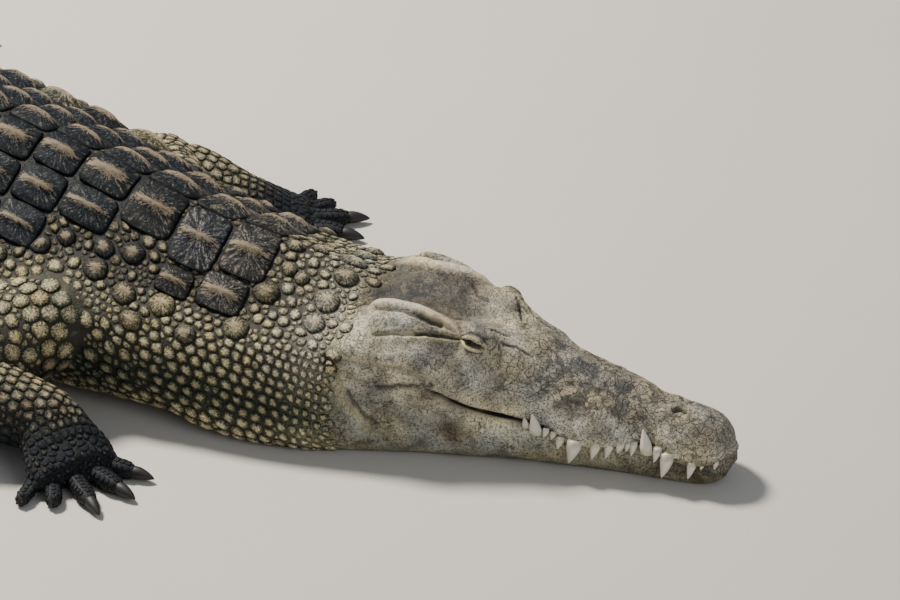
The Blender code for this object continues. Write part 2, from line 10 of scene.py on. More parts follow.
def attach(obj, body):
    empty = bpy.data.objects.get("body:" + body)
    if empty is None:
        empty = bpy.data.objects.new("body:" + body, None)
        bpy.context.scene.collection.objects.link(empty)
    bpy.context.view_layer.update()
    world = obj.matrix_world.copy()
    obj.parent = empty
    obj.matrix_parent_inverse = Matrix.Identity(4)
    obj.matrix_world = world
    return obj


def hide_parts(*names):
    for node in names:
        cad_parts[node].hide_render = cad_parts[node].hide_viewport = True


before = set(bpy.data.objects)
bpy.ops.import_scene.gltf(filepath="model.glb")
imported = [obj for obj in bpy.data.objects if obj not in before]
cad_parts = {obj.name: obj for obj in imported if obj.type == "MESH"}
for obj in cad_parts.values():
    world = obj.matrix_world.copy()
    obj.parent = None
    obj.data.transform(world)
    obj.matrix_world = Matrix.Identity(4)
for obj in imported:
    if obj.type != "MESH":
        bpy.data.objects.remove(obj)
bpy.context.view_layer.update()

bl_info = {
    "name": "Nile crocodile",
    "version": (1, 0, 0),
    "blender": (4, 5, 0),
    "location": "3D View > Sidebar > Crocodile",
    "description": "Skin, scales, eyes, teeth and claws of a resting Nile crocodile",
    "category": "Object",
}

# ---- form of the body, in head lengths (the same sizes as the solids) ------
HEAD = 0.50                 # snout tip to the jaw hinge, metres
LENGTH = 6.80               # along the spine, head lengths
HEADINGS = ((0.00, 9.0), (0.95, 9.0), (1.40, 4.0), (1.90, 0.0), (3.30, 0.0),
            (4.10, -7.0), (4.80, -5.0), (5.70, 9.0), (6.80, 24.0))

# station, crown, deck, deck_z, side, side_z, rim, low, low_z, sole, sole_z
STATIONS = (
    # tip of the snout and the premaxilla
    (0.000, 0.124, 0.014, 0.120, 0.026, 0.096, 0.018, 0.014, 0.068, 0.008, 0.054),
    (0.012, 0.146, 0.026, 0.139, 0.055, 0.087, 0.043, 0.036, 0.038, 0.022, 0.022),
    (0.035, 0.170, 0.038, 0.160, 0.078, 0.083, 0.064, 0.056, 0.028, 0.038, 0.010),
    (0.080, 0.187, 0.046, 0.176, 0.094, 0.080, 0.076, 0.069, 0.026, 0.050, 0.002),
    (0.125, 0.187, 0.046, 0.175, 0.094, 0.085, 0.078, 0.074, 0.026, 0.056, 0.000),
    # notch of the fourth lower tooth
    (0.195, 0.203, 0.046, 0.189, 0.079, 0.113, 0.087, 0.083, 0.030, 0.062, 0.000),
    # swelling of the maxilla
    (0.250, 0.224, 0.053, 0.206, 0.100, 0.106, 0.089, 0.088, 0.032, 0.068, 0.000),
    (0.345, 0.249, 0.062, 0.228, 0.129, 0.095, 0.109, 0.108, 0.034, 0.080, 0.000),
    (0.400, 0.262, 0.066, 0.241, 0.130, 0.096, 0.123, 0.120, 0.035, 0.088, 0.000),
    (0.440, 0.274, 0.069, 0.252, 0.131, 0.120, 0.133, 0.130, 0.036, 0.094, 0.000),
    (0.530, 0.303, 0.075, 0.290, 0.147, 0.147, 0.154, 0.149, 0.040, 0.110, 0.000),
    (0.590, 0.315, 0.080, 0.321, 0.164, 0.156, 0.168, 0.164, 0.042, 0.126, 0.000),
    # orbits
    (0.630, 0.319, 0.084, 0.349, 0.176, 0.165, 0.178, 0.177, 0.044, 0.138, 0.000),
    (0.680, 0.327, 0.092, 0.359, 0.190, 0.183, 0.192, 0.192, 0.048, 0.152, 0.000),
    (0.730, 0.337, 0.106, 0.357, 0.203, 0.209, 0.205, 0.206, 0.052, 0.166, 0.000),
    # skull table
    (0.780, 0.349, 0.124, 0.367, 0.218, 0.221, 0.220, 0.222, 0.054, 0.180, 0.000),
    (0.840, 0.354, 0.134, 0.374, 0.236, 0.226, 0.238, 0.242, 0.056, 0.200, 0.000),
    (0.895, 0.354, 0.139, 0.373, 0.253, 0.222, 0.254, 0.260, 0.058, 0.220, 0.000),
    (0.950, 0.356, 0.144, 0.352, 0.270, 0.212, 0.271, 0.278, 0.058, 0.238, 0.000),
    # neck
    (1.060, 0.386, 0.160, 0.326, 0.302, 0.196, 0.302, 0.318, 0.044, 0.288, 0.000),
    (1.220, 0.420, 0.184, 0.326, 0.338, 0.186, 0.338, 0.346, 0.042, 0.304, 0.000),
    (1.310, 0.432, 0.195, 0.334, 0.352, 0.184, 0.352, 0.350, 0.046, 0.296, 0.002),
    (1.400, 0.442, 0.206, 0.340, 0.364, 0.184, 0.364, 0.344, 0.060, 0.262, 0.008),
    # shoulders and trunk
    (1.620, 0.482, 0.230, 0.370, 0.402, 0.186, 0.402, 0.364, 0.060, 0.256, 0.004),
    (1.900, 0.530, 0.250, 0.408, 0.454, 0.196, 0.454, 0.406, 0.062, 0.280, 0.000),
    (2.200, 0.564, 0.264, 0.442, 0.516, 0.208, 0.516, 0.454, 0.064, 0.322, 0.000),
    (2.520, 0.580, 0.268, 0.460, 0.536, 0.212, 0.536, 0.472, 0.066, 0.336, 0.000),
    (2.840, 0.568, 0.260, 0.450, 0.494, 0.210, 0.494, 0.434, 0.066, 0.308, 0.000),
    (3.120, 0.532, 0.242, 0.426, 0.418, 0.202, 0.418, 0.368, 0.066, 0.256, 0.000),
    # tail
    (3.400, 0.484, 0.214, 0.396, 0.352, 0.190, 0.352, 0.308, 0.064, 0.214, 0.000),
    (3.740, 0.426, 0.176, 0.368, 0.294, 0.174, 0.294, 0.254, 0.058, 0.170, 0.000),
    (4.160, 0.368, 0.134, 0.336, 0.230, 0.154, 0.230, 0.196, 0.052, 0.126, 0.000),
    (4.620, 0.312, 0.096, 0.296, 0.172, 0.134, 0.172, 0.144, 0.046, 0.088, 0.000),
    (5.080, 0.270, 0.056, 0.254, 0.126, 0.116, 0.126, 0.104, 0.040, 0.060, 0.000),
    (5.540, 0.238, 0.030, 0.214, 0.090, 0.100, 0.090, 0.074, 0.034, 0.042, 0.000),
    (6.000, 0.198, 0.022, 0.176, 0.062, 0.082, 0.062, 0.051, 0.028, 0.029, 0.000),
    (6.420, 0.146, 0.015, 0.128, 0.040, 0.058, 0.040, 0.033, 0.020, 0.018, 0.000),
    (6.700, 0.082, 0.009, 0.070, 0.022, 0.034, 0.022, 0.018, 0.012, 0.010, 0.000),
    (6.800, 0.030, 0.004, 0.026, 0.008, 0.015, 0.008, 0.007, 0.006, 0.005, 0.000),
)

TOP_CUTS, BASE_CUTS = (6, 12, 36, 16), (12, 9, 3, 3)    # skin's columns on each span
LIP = sum(TOP_CUTS)

# limb: side, joints (metres behind the snout, out, up), radii, hand (station, out)
LIMBS = {
    "front_right": (-1, ((0.835, 0.080, 0.115), (0.935, 0.340, 0.088),
                         (0.796, 0.298, 0.054)), (0.070, 0.058, 0.046), (0.735, 0.336)),
    "front_left": (1, ((0.830, 0.080, 0.115), (0.980, 0.272, 0.084),
                        (0.862, 0.300, 0.046)), (0.066, 0.043, 0.036), (0.789, 0.338)),
    "hind_right": (-1, ((1.560, 0.060, 0.135), (1.395, 0.318, 0.130),
                        (1.545, 0.385, 0.046)), (0.092, 0.066, 0.038), (1.465, 0.455)),
    "hind_left": (1, ((1.560, 0.060, 0.135), (1.435, 0.330, 0.120),
                      (1.590, 0.372, 0.046)), (0.092, 0.066, 0.038), (1.525, 0.455)),
}
# toe: angle from the hand's heading, length, radius, has a claw
FRONT_TOES = ((36.0, 0.062, 0.0125, True), (15.0, 0.076, 0.0130, True),
              (-6.0, 0.080, 0.0125, True), (-28.0, 0.068, 0.0110, False),
              (-54.0, 0.054, 0.0100, False))
HIND_TOES = ((30.0, 0.090, 0.0150, True), (8.0, 0.118, 0.0155, True),
             (-13.0, 0.126, 0.0150, True), (-36.0, 0.108, 0.0120, False))

# tooth: station in head lengths, length and root radius in metres
UPPER_TEETH = ((0.022, 0.011, 0.0034), (0.053, 0.009, 0.0032), (0.078, 0.022, 0.0054),
               (0.141, 0.030, 0.0080), (0.168, 0.018, 0.0054), (0.231, 0.018, 0.0040),
               (0.247, 0.012, 0.0036), (0.266, 0.014, 0.0052), (0.293, 0.021, 0.0057),
               (0.327, 0.022, 0.0064), (0.378, 0.028, 0.0088), (0.416, 0.015, 0.0050),
               (0.434, 0.010, 0.0038), (0.452, 0.011, 0.0040))
LOWER_TEETH = ((0.198, 0.027, 0.0076), (0.478, 0.022, 0.0074), (0.505, 0.011, 0.0044))

EYE_AT, EYE_RADIUS = (0.660, 0.109, 0.316), 0.0165
EYE_CORNERS = ((0.700, 0.131, 0.337), (0.628, 0.122, 0.318))
LID = 0.0022                # thickness of the eyelid

# fold of the head: points (station, out, up), width and height in metres, tint; dark and black on
# sunken folds are painted shade in the grooves and nostrils
HEAD_FOLDS = (
    (((0.93, 0.108, 0.385), (0.86, 0.104, 0.381), (0.80, 0.111, 0.371),
      (0.735, 0.116, 0.356)), 0.0120, 0.0085, "flap"),
    (((0.93, 0.134, 0.384), (0.84, 0.131, 0.379), (0.79, 0.132, 0.367),
      (0.745, 0.126, 0.355)), 0.0034, -0.0075, "dark"),
    (((0.91, 0.162, 0.370), (0.85, 0.158, 0.366), (0.80, 0.150, 0.352)),
     0.0130, 0.0052, ""),
    (((0.90, 0.205, 0.340), (0.84, 0.185, 0.344), (0.79, 0.165, 0.343)),
     0.0028, -0.0034, "lid"),
    (((0.80, 0.169, 0.343), (0.74, 0.145, 0.339), (0.692, 0.131, 0.335)),
     0.0021, -0.0058, "dark"),
    (((0.81, 0.178, 0.337), (0.74, 0.154, 0.331), (0.700, 0.140, 0.328)),
     0.0026, 0.0020, "lid"),
    (((0.98, 0.250, 0.272), (0.86, 0.233, 0.269), (0.82, 0.221, 0.268),
      (0.78, 0.214, 0.250), (0.745, 0.203, 0.236)), 0.0032, -0.0052, "lid"),
    (((0.98, 0.236, 0.292), (0.86, 0.226, 0.284)), 0.0090, 0.0045, ""),
    (((0.945, 0.226, 0.305), (0.925, 0.222, 0.308)), 0.0140, 0.0050, ""),
    (((0.87, 0.247, 0.214), (0.80, 0.228, 0.222), (0.745, 0.204, 0.224)),
     0.0026, -0.0034, "dark"),
    (((1.01, 0.262, 0.270), (0.98, 0.270, 0.236), (0.96, 0.280, 0.174),
      (0.92, 0.273, 0.118), (0.87, 0.250, 0.066)), 0.0070, -0.0075, "lid"),
    (((0.945, 0.278, 0.200), (0.91, 0.266, 0.140), (0.87, 0.256, 0.105)),
     0.0030, -0.0035, "dark"),
    (((0.625, 0.085, 0.350), (0.605, 0.060, 0.335), (0.590, 0.037, 0.318)),
     0.0018, -0.0026, "dark"),
    (((0.590, 0.090, 0.318), (0.560, 0.075, 0.304), (0.520, 0.070, 0.287)),
     0.0018, -0.0022, "dark"),
    (((0.615, 0.100, 0.335), (0.560, 0.100, 0.292), (0.500, 0.092, 0.262)),
     0.0090, 0.0022, ""),
    (((0.745, 0.085, 0.350), (0.720, 0.060, 0.340), (0.690, 0.050, 0.335)),
     0.0020, -0.0018, "dark"),
    (((0.160, 0.034, 0.186), (0.140, 0.022, 0.188), (0.120, 0.020, 0.186)),
     0.0110, 0.0050, ""),
    (((0.150, 0.030, 0.188), (0.136, 0.019, 0.190), (0.122, 0.022, 0.188)),
     0.0022, -0.0080, "black"),
)

# ---- scales: station and girth from the midline in head lengths, radius in mm
NECK_BLOCKS = (             # station, girth, half length and half width in mm
    (1.300, -0.070, 32, 41), (1.306, 0.106, 32, 45), (1.437, -0.090, 32, 44),
    (1.442, 0.100, 32, 49), (1.320, -0.210, 30, 26), (1.328, 0.256, 30, 27),
    (1.445, -0.228, 23, 20), (1.452, 0.252, 23, 20),
)
NECK_OVALS = (              # station, girth, radius in mm
    (1.220, -0.159, 17), (1.205, 0.000, 12), (1.190, -0.075, 11), (1.150, -0.086, 9),
    (1.150, 0.035, 10), (1.050, -0.030, 17), (1.066, -0.120, 18), (1.074, -0.192, 15),
    (1.060, 0.055, 17), (1.070, 0.150, 17), (1.083, 0.250, 14), (1.250, -0.286, 17),
    (1.262, 0.340, 16), (1.225, 0.195, 15), (1.445, -0.300, 18), (1.452, 0.325, 18),
    (1.360, -0.350, 14), (1.545, -0.316, 17), (1.545, 0.330, 17), (1.500, -0.375, 14),
    (1.575, -0.205, 16), (1.640, -0.290, 17), (1.640, 0.310, 17),
)
FIRST_ROWS = (              # station and lanes of the rows behind the neck
    (1.582, (-0.066, 0.090, 0.215)), (1.733, (-0.150, -0.036, 0.078, 0.192, 0.300)),
    (1.880, (-0.269, -0.152, -0.036, 0.080, 0.196, 0.312, 0.420)))
ROW_PITCH, SCUTE_WIDE = 0.136, 0.114
DOUBLE_CREST, SINGLE_CREST = (3.56, 5.14, 15), (5.25, 6.60, 14)

TINTS = {                   # colour of each region, and what it is on the animal
    "slate": ("182027", "Bony shields of the back"),
    "keel": ("b09b7c", "Worn ridges of the shields"),
    "ochre": ("908969", "Pebbles of flank and neck"),
    "olive": ("6c6a50", "Lower flank and tail"),
    "cream": ("b4ab86", "Belly"),
    "throat": ("525a46", "Throat"),
    "head": ("c2bba7", "Hide of the head"),
    "snout": ("8a8272", "Darker top of snout and skull"),
    "cheek": ("d2d0bd", "Cheeks"),
    "flap": ("dccdb2", "Ear flap"),
    "lid": ("b9ae88", "Rims of the eyelids and folds"),
    # painted shade: dark darkens creases and sunken folds (elsewhere it is also a plain darker
    # tint); black is painted shade in the mouth's groove, the nostrils and the slit of the lids
    "dark": ("26241f", "Creases"),
    "black": ("0c0b0a", "Inside of mouth and nostrils"),
    "stain": ("54402f", "Brown stain of the jaw"),
    "hand": ("192027", "Hands and feet"),
    # painted shade: crack darkens the skin in the gaps between the scales
    "crack": ("1d1912", "Skin between the scales"),
    "tooth": ("dcd6c6", "Clean enamel"),
    "claw": ("17171a", "Claw horn"),
    # the iris is kept dark: its own bronze darkened as painted shade under the lids
    "iris": ("3c3014", "Iris of the eye"),
}


def linear(code):
    """Linear colour of an sRGB hex code."""
    value = np.array([int(code[i:i + 2], 16) for i in (0, 2, 4)]) / 255.0
    return np.where(value <= 0.04045, value / 12.92, ((value + 0.055) / 1.055) ** 2.4)


PAINT = {name: linear(code) for name, (code, _) in TINTS.items()}


# ---- curves ----------------------------------------------------------------
def slopes(x, y):
    """Slopes of a monotone cubic through the rows of y at the knots x."""
    h = np.diff(x)[:, None]
    d = np.diff(y, axis=0) / h
    m = np.zeros_like(y)
    w1, w2 = 2 * h[1:] + h[:-1], h[1:] + 2 * h[:-1]
    same = d[:-1] * d[1:] > 0
    safe = np.where(same, d[:-1] * d[1:], 1.0)
    m[1:-1] = np.where(same, (w1 + w2) * safe / (w1 * d[1:] + w2 * d[:-1] + 1e-30), 0)
    m[0], m[-1] = d[0], d[-1]
    return m


def cubic(t, h, first, second, leaving, arriving):
    """Point at share t of a span h between two ends with their slopes."""
    return ((1 + 2 * t) * (1 - t) ** 2 * first + t * (1 - t) ** 2 * h * leaving
            + t * t * (3 - 2 * t) * second + t * t * (t - 1) * h * arriving)


def hermite(x, y, m, q):
    """Cubic through the knots, read at every q."""
    i = np.clip(np.searchsorted(x, q, side="right") - 1, 0, len(x) - 2)
    h = (x[i + 1] - x[i])[..., None]
    t = (q - x[i])[..., None] / h
    return cubic(t, h, y[i], y[i + 1], m[i], m[i + 1])


def step(low, high, value):
    """Smooth rise from 0 at low to 1 at high."""
    t = np.clip((value - low) / (high - low), 0, 1)
    return t * t * (3 - 2 * t)


def mix(first, second, share):
    """Blend of two colours, or of rows of them."""
    return first + (second - first) * np.asarray(share)[..., None]


TABLE = np.array(STATIONS)
TABLE_SLOPES = slopes(TABLE[:, 0], TABLE[:, 1:])
TURNS = np.array(HEADINGS)
TURN_SLOPES = slopes(TURNS[:, 0], TURNS[:, 1:])


def spine_table():
    """Distance, heading and plan position down the spine, in metres."""
    s = np.linspace(0.0, LENGTH, 1441)
    turn = np.radians(hermite(TURNS[:, 0], TURNS[:, 1:], TURN_SLOPES, s)[:, 0])
    run = np.diff(s) * HEAD
    mid = 0.5 * (turn[1:] + turn[:-1])
    x = np.concatenate(([0.0], np.cumsum(-np.cos(mid) * run)))
    y = np.concatenate(([0.0], np.cumsum(-np.sin(mid) * run)))
    origin = int(len(s) * 2.5 / LENGTH)
    return s * HEAD, turn, x - x[origin], y - y[origin]


SPINE = spine_table()


def place(metres, out, up):
    """Points beside the spine: out is positive to the animal's left."""
    metres, out, up = np.broadcast_arrays(np.asarray(metres, float), out, up)
    turn = np.interp(metres, SPINE[0], SPINE[1])
    ahead = np.minimum(metres, 0.0)
    x = np.interp(metres, SPINE[0], SPINE[2]) - np.sin(turn) * out - np.cos(turn) * ahead
    y = np.interp(metres, SPINE[0], SPINE[3]) + np.cos(turn) * out - np.sin(turn) * ahead
    return np.stack((x, y, up), axis=-1)


def stations_of(points):
    """Metres down the spine and distance out, for points in space."""
    metres, out = np.zeros(len(points)), np.zeros(len(points))
    sx, sy = SPINE[2][::3], SPINE[3][::3]
    for a in range(0, len(points), 8000):
        block = points[a:a + 8000]
        near = np.argmin((block[:, :1] - sx) ** 2 + (block[:, 1:2] - sy) ** 2, axis=1) * 3
        turn = SPINE[1][near]
        dx, dy = block[:, 0] - SPINE[2][near], block[:, 1] - SPINE[3][near]
        metres[a:a + 8000] = SPINE[0][near] - dx * np.cos(turn) - dy * np.sin(turn)
        out[a:a + 8000] = -dx * np.sin(turn) + dy * np.cos(turn)
    return metres, out


def curve(points, before, after, cuts):
    """Smooth curves through rows of control points, each span cut alike."""
    full = np.concatenate((before[:, None], points, after[:, None]), axis=1)
    run = np.sqrt(np.linalg.norm(np.diff(full, axis=1), axis=2)) + 1e-6
    knot = np.concatenate((np.zeros((len(full), 1)), np.cumsum(run, axis=1)), axis=1)[..., None]
    tangent = ((full[:, 2:] - full[:, 1:-1]) / (knot[:, 2:] - knot[:, 1:-1])
               + (full[:, 1:-1] - full[:, :-2]) / (knot[:, 1:-1] - knot[:, :-2])
               - (full[:, 2:] - full[:, :-2]) / (knot[:, 2:] - knot[:, :-2]))
    rows = []
    for i, pieces in enumerate(cuts):
        t = (np.arange(pieces) / pieces)[None, :, None]
        h = (knot[:, i + 2] - knot[:, i + 1])[:, None]
        a, b = points[:, i][:, None], points[:, i + 1][:, None]
        m, n = tangent[:, i][:, None], tangent[:, i + 1][:, None]
        rows.append(cubic(t, h, a, b, m, n))
    rows.append(points[:, -1:])
    return np.concatenate(rows, axis=1)


def half_profiles(s, top_cuts=(8,) * 4, base_cuts=(8,) * 4):
    """Upper and lower half-outlines (out, up) in metres at the stations s."""
    row = hermite(TABLE[:, 0], TABLE[:, 1:], TABLE_SLOPES, np.asarray(s, float)) * HEAD
    crown, deck, deck_z, side, side_z, rim, low, low_z, sole, sole_z = row.T
    zero = np.zeros_like(crown)
    upper = np.stack([np.stack(p, axis=-1) for p in (
        (zero, crown), (deck * 0.55, crown * 0.55 + deck_z * 0.45), (deck, deck_z),
        (deck + (side - deck) * 0.70, side_z + (deck_z - side_z) * 0.62),
        (side, side_z))], axis=1)
    lower = np.stack([np.stack(p, axis=-1) for p in (
        (rim, side_z), (low, low_z), (sole, sole_z), (sole * 0.5, sole_z),
        (zero, sole_z))], axis=1)
    mirror = np.array((-1.0, 1.0))
    top = curve(upper, upper[:, 1] * mirror, upper[:, 4] + lower[:, 1] - lower[:, 0], top_cuts)
    base = curve(lower, lower[:, 0] - upper[:, 4] + upper[:, 3], lower[:, 3] * mirror,
                 base_cuts)
    base[..., 1] = np.maximum(base[..., 1], sole_z[:, None])
    top[..., 0], base[..., 0] = np.maximum(top[..., 0], 0), np.maximum(base[..., 0], 0)
    return top, base


# ---- chart of the body: station and girth to a point in space ----------------
CHART_STEP, CHART_COLUMNS = 0.004, 193


def make_chart():
    """Stations, half girths, outline points and normals of the body."""
    s = np.arange(0.0, LENGTH * HEAD, CHART_STEP)
    top, base = half_profiles(s / HEAD)
    half = np.concatenate((top, base[:, 1:]), axis=1)
    run = np.concatenate((np.zeros((len(s), 1)), np.cumsum(
        np.linalg.norm(np.diff(half, axis=1), axis=2), axis=1)), axis=1)
    grid = np.zeros((len(s), CHART_COLUMNS, 2))
    share = np.linspace(0, 1, CHART_COLUMNS)
    for i in range(len(s)):
        for k in (0, 1):
            grid[i, :, k] = np.interp(share * run[i, -1], run[i], half[i, :, k])
    wide = np.concatenate((grid[:, 1:4][:, ::-1] * (-1, 1), grid,
                           grid[:, -4:-1][:, ::-1] * (-1, 1)), axis=1)
    around = np.gradient(wide, axis=1)[:, 3:-3]
    along = np.gradient(grid, CHART_STEP, axis=0)
    normal = np.stack((around[..., 0] * along[..., 1] - around[..., 1] * along[..., 0],
                       -around[..., 1], around[..., 0]), axis=-1)
    normal /= np.linalg.norm(normal, axis=2)[..., None] + 1e-12
    return s, run[:, -1], grid, normal


CHART = make_chart()


def girth_at(metres):
    """Half of the way round the body, in metres."""
    return np.interp(metres, CHART[0], CHART[1])


def on_body(metres, girth, height=0.0):
    """Points standing off the body at station and signed girth, and their normals."""
    side = np.where(girth < 0, -1.0, 1.0)
    row = np.clip(metres / CHART_STEP, 0, len(CHART[0]) - 1.001)
    share = np.abs(girth) / girth_at(metres)
    flip = np.where(share > 1, -1.0, 1.0)
    share = np.where(share > 1, 2 - share, share)
    col = np.clip(share, 0, 1) * (CHART_COLUMNS - 1.001)
    i, j = row.astype(int), col.astype(int)
    fi, fj = (row - i)[..., None], (col - j)[..., None]
    spot, lean = (
        (g[i, j] * (1 - fi) + g[i + 1, j] * fi) * (1 - fj)
        + (g[i, j + 1] * (1 - fi) + g[i + 1, j + 1] * fi) * fj for g in CHART[2:])
    side = side * flip
    turn = np.interp(metres, SPINE[0], SPINE[1])
    ahead, left = lean[..., 0], lean[..., 1] * side
    normal = np.stack((np.cos(turn) * ahead - np.sin(turn) * left,
                       np.sin(turn) * ahead + np.cos(turn) * left, lean[..., 2]), axis=-1)
    normal /= np.linalg.norm(normal, axis=-1)[..., None] + 1e-12
    base = place(metres, side * spot[..., 0], spot[..., 1])
    return base + normal * np.asarray(height)[..., None], normal


def coat_depth(metres):
    """How far the skin lies inside the outline, to leave room for the scales."""
    return 0.003 * step(0.480, 0.520, metres) * (1 - 0.6 * step(2.4, 3.4, metres))


# ---- markings, the same on skin and scales -----------------------------------
def markings(points, limb=None):
    """Base colour of the hide at points in space."""
    metres, out = stations_of(points)
    s, up = metres / HEAD, points[:, 2]
    crown = np.interp(s, TABLE[:, 0], TABLE[:, 1]) * HEAD
    high = up / np.maximum(crown, 0.01)
    colour = mix(PAINT["cream"], PAINT["throat"], step(0.05, 0.30, high))
    colour = mix(colour, PAINT["ochre"], step(0.30, 0.62, high))
    edge = np.interp(s, (1.0, 1.2, 1.5, 1.65, 1.8, 1.95, 2.3, 3.4),
                     (0.05, 0.22, 0.29, 0.28, 0.31, 0.42, 0.44, 0.36)) * HEAD
    edge = edge * 0.88 + 0.05 * (out > 0) * step(2.3, 1.6, s)
    blot = 0.014 * np.sin(s * 23.0) * np.cos(out * 51.0)
    back = step(0.035, -0.02, np.abs(out) - edge + blot) * step(0.35, 0.55, high)
    browner = PAINT["dark"] * np.interp(s, (1.2, 1.7), (1.3, 0.0))[:, None]
    colour = mix(colour, PAINT["slate"] + browner, back * step(1.16, 1.30, s))
    tail = step(3.2, 3.7, s)
    band = step(0.15, 0.75, np.sin(s * 11.5 + 1.2)) * step(0.30, 0.70, high)
    hue = mix(PAINT["olive"], PAINT["slate"], np.maximum(band, step(0.75, 0.95, high) * 0.8))
    hue = mix(PAINT["cream"] * 0.9, hue, step(0.06, 0.35, high))
    colour = mix(colour, hue, tail)
    face = mix(PAINT["cheek"], PAINT["head"], step(0.30, 0.62, high))
    # painted shade: the lower sides of the jaws are darkened, reaching higher at the back of the
    # head
    face = mix(PAINT["cheek"] * 0.46, face, step(0.20, 0.46, high - 0.25 * step(0.6, 0.9, s)))
    face = mix(face, PAINT["snout"], step(0.66, 0.92, high) * step(0.66, 0.40, s) * 0.8)
    face = mix(face, PAINT["ochre"] * 0.85, step(0.93, 1.02, s) * 0.6)
    table = step(0.66, 0.76, s) * step(0.84, 0.93, high) * step(0.062, 0.050, np.abs(out))
    face = mix(face, PAINT["snout"] * 0.20, table * 0.93)
    face = mix(face, PAINT["snout"] * 0.72, step(0.58, 0.66, s) * step(0.84, 0.93, high) * 0.6
               * step(0.78, 0.72, s))
    # painted shadow of the overhanging snout on the front of the lower jaw
    face = mix(face, PAINT["dark"] * 1.8, step(0.34, 0.14, s) * step(0.050, 0.044, up) * 0.7)
    stain = step(0.030, 0.006, np.hypot(metres - 0.345, up - 0.048)) * step(0, 0.02, -out)
    face = mix(face, PAINT["stain"], stain * 0.8)
    face = mix(face, PAINT["cream"], step(0.03, 0.0, up) * 0.5)
    colour = mix(face, colour, step(0.94, 1.05, s))
    colour = mix(colour, PAINT["head"] * 0.66, step(1.24, 1.06, s) * step(0.35, 0.7, high)
                 * step(0.98, 1.04, s) * 0.7)
    if limb is not None:
        skin = mix(PAINT["ochre"] * 0.85, PAINT["hand"], step(0.105, 0.050, up))
        skin = mix(skin, PAINT["hand"], step(0.24, 0.36, np.abs(out)) * 0.6)
        colour = mix(colour, skin, limb)
    return colour


# ---- mesh helpers --------------------------------------------------------------
def deselect():
    """Leave edit mode and select nothing."""
    if bpy.context.object and bpy.context.object.mode != "OBJECT":
        bpy.ops.object.mode_set(mode="OBJECT")
    bpy.ops.object.select_all(action="DESELECT")


def only(item):
    """Make one object the selected and active one."""
    deselect()
    item.select_set(True)
    bpy.context.view_layer.objects.active = item
    return item


def apply_modifier(item, kind, **settings):
    """Add one modifier and apply it."""
    only(item)
    change = item.modifiers.new(kind.title(), kind)
    for name, value in settings.items():
        setattr(change, name, value)
    bpy.ops.object.modifier_apply(modifier=change.name)


def mesh_piece(name, points, faces, smooth=True):
    """New object from arrays of points and of faces with equal corner counts."""
    mesh = bpy.data.meshes.new(name)
    faces = np.asarray(faces)
    mesh.vertices.add(len(points))
    mesh.vertices.foreach_set("co", np.asarray(points, dtype=np.float32).ravel())
    mesh.loops.add(faces.size)
    mesh.loops.foreach_set("vertex_index", faces.ravel().astype(np.int32))
    mesh.polygons.add(len(faces))
    mesh.polygons.foreach_set("loop_start", np.arange(0, faces.size, faces.shape[1],
                                                      dtype=np.int32))
    mesh.polygons.foreach_set("use_smooth", np.full(len(faces), smooth))
    mesh.update(calc_edges=True)
    item = bpy.data.objects.new(name, mesh)
    bpy.context.scene.collection.objects.link(item)
    return item


def points_of(item):
    """Places of a mesh's points."""
    co = np.empty(len(item.data.vertices) * 3, dtype=np.float32)
    item.data.vertices.foreach_get("co", co)
    return co.reshape(-1, 3).astype(float)


def set_points(item, points):
    """Move a mesh's points."""
    item.data.vertices.foreach_set("co", points.astype(np.float32).ravel())
    item.data.update()


def set_colour(item, name, colour):
    """Store a colour on every point."""
    layer = item.data.color_attributes.new(name, "FLOAT_COLOR", "POINT")
    layer.data.foreach_set("color", np.concatenate(
        (colour, np.ones((len(colour), 1))), axis=1).astype(np.float32).ravel())


def set_value(item, name, values):
    """Store a number on every point."""
    layer = item.data.attributes.new(name, "FLOAT", "POINT")
    layer.data.foreach_set("value", np.asarray(values, dtype=np.float32))


def point_tree(points):
    """Search tree over points."""
    tree = kdtree.KDTree(len(points))
    for i, p in enumerate(points):
        tree.insert(p, i)
    tree.balance()
    return tree


def twin(model):
    """Copy of an object with its own mesh, linked to the scene."""
    item = model.copy()
    item.data = model.data.copy()
    bpy.context.scene.collection.objects.link(item)
    return item


def spokes(corners):
    """Angles of evenly spread corners, in radians."""
    return 2 * np.pi * np.arange(corners) / corners


def join(items, name):
    """Join objects as one piece with its own name."""
    deselect()
    for item in items:
        item.select_set(True)
    bpy.context.view_layer.objects.active = items[0]
    bpy.ops.object.join()
    items[0].name = items[0].data.name = name
    return items[0]


def tube_rings(rows, sides):
    """Rings of points across an axis; each row is centre, axis, wide, tall."""
    rings = []
    for centre, axis, wide, tall in rows:
        axis = axis / np.linalg.norm(axis)
        level = np.cross(axis, (0, 0, 1))
        level /= np.linalg.norm(level)
        upright = np.cross(level, axis)
        a = spokes(sides)
        rings.append(centre + np.outer(np.cos(a) * wide, level)
                     + np.outer(np.sin(a) * tall, upright))
    return rings


def tube_piece(rows, name, sides=20):
    """Closed tube over rings, its ends drawn to a point."""
    rings = tube_rings(rows, sides)
    points = np.concatenate([rings[0].mean(axis=0)[None]] + rings
                            + [rings[-1].mean(axis=0)[None]])
    faces, last = [], len(points) - 1
    for r in range(len(rings) - 1):
        for k in range(sides):
            a, b = 1 + r * sides + k, 1 + r * sides + (k + 1) % sides
            faces += [(a, b, b + sides), (a, b + sides, a + sides)]
    for k in range(sides):
        faces.append((0, 1 + (k + 1) % sides, 1 + k))
        faces.append((last, last - sides + k, last - sides + (k + 1) % sides))
    item = mesh_piece(name, points, faces)
    only(item)
    bpy.ops.object.mode_set(mode="EDIT")
    bpy.ops.mesh.select_all(action="SELECT")
    bpy.ops.mesh.normals_make_consistent(inside=False)
    bpy.ops.object.mode_set(mode="OBJECT")
    return item


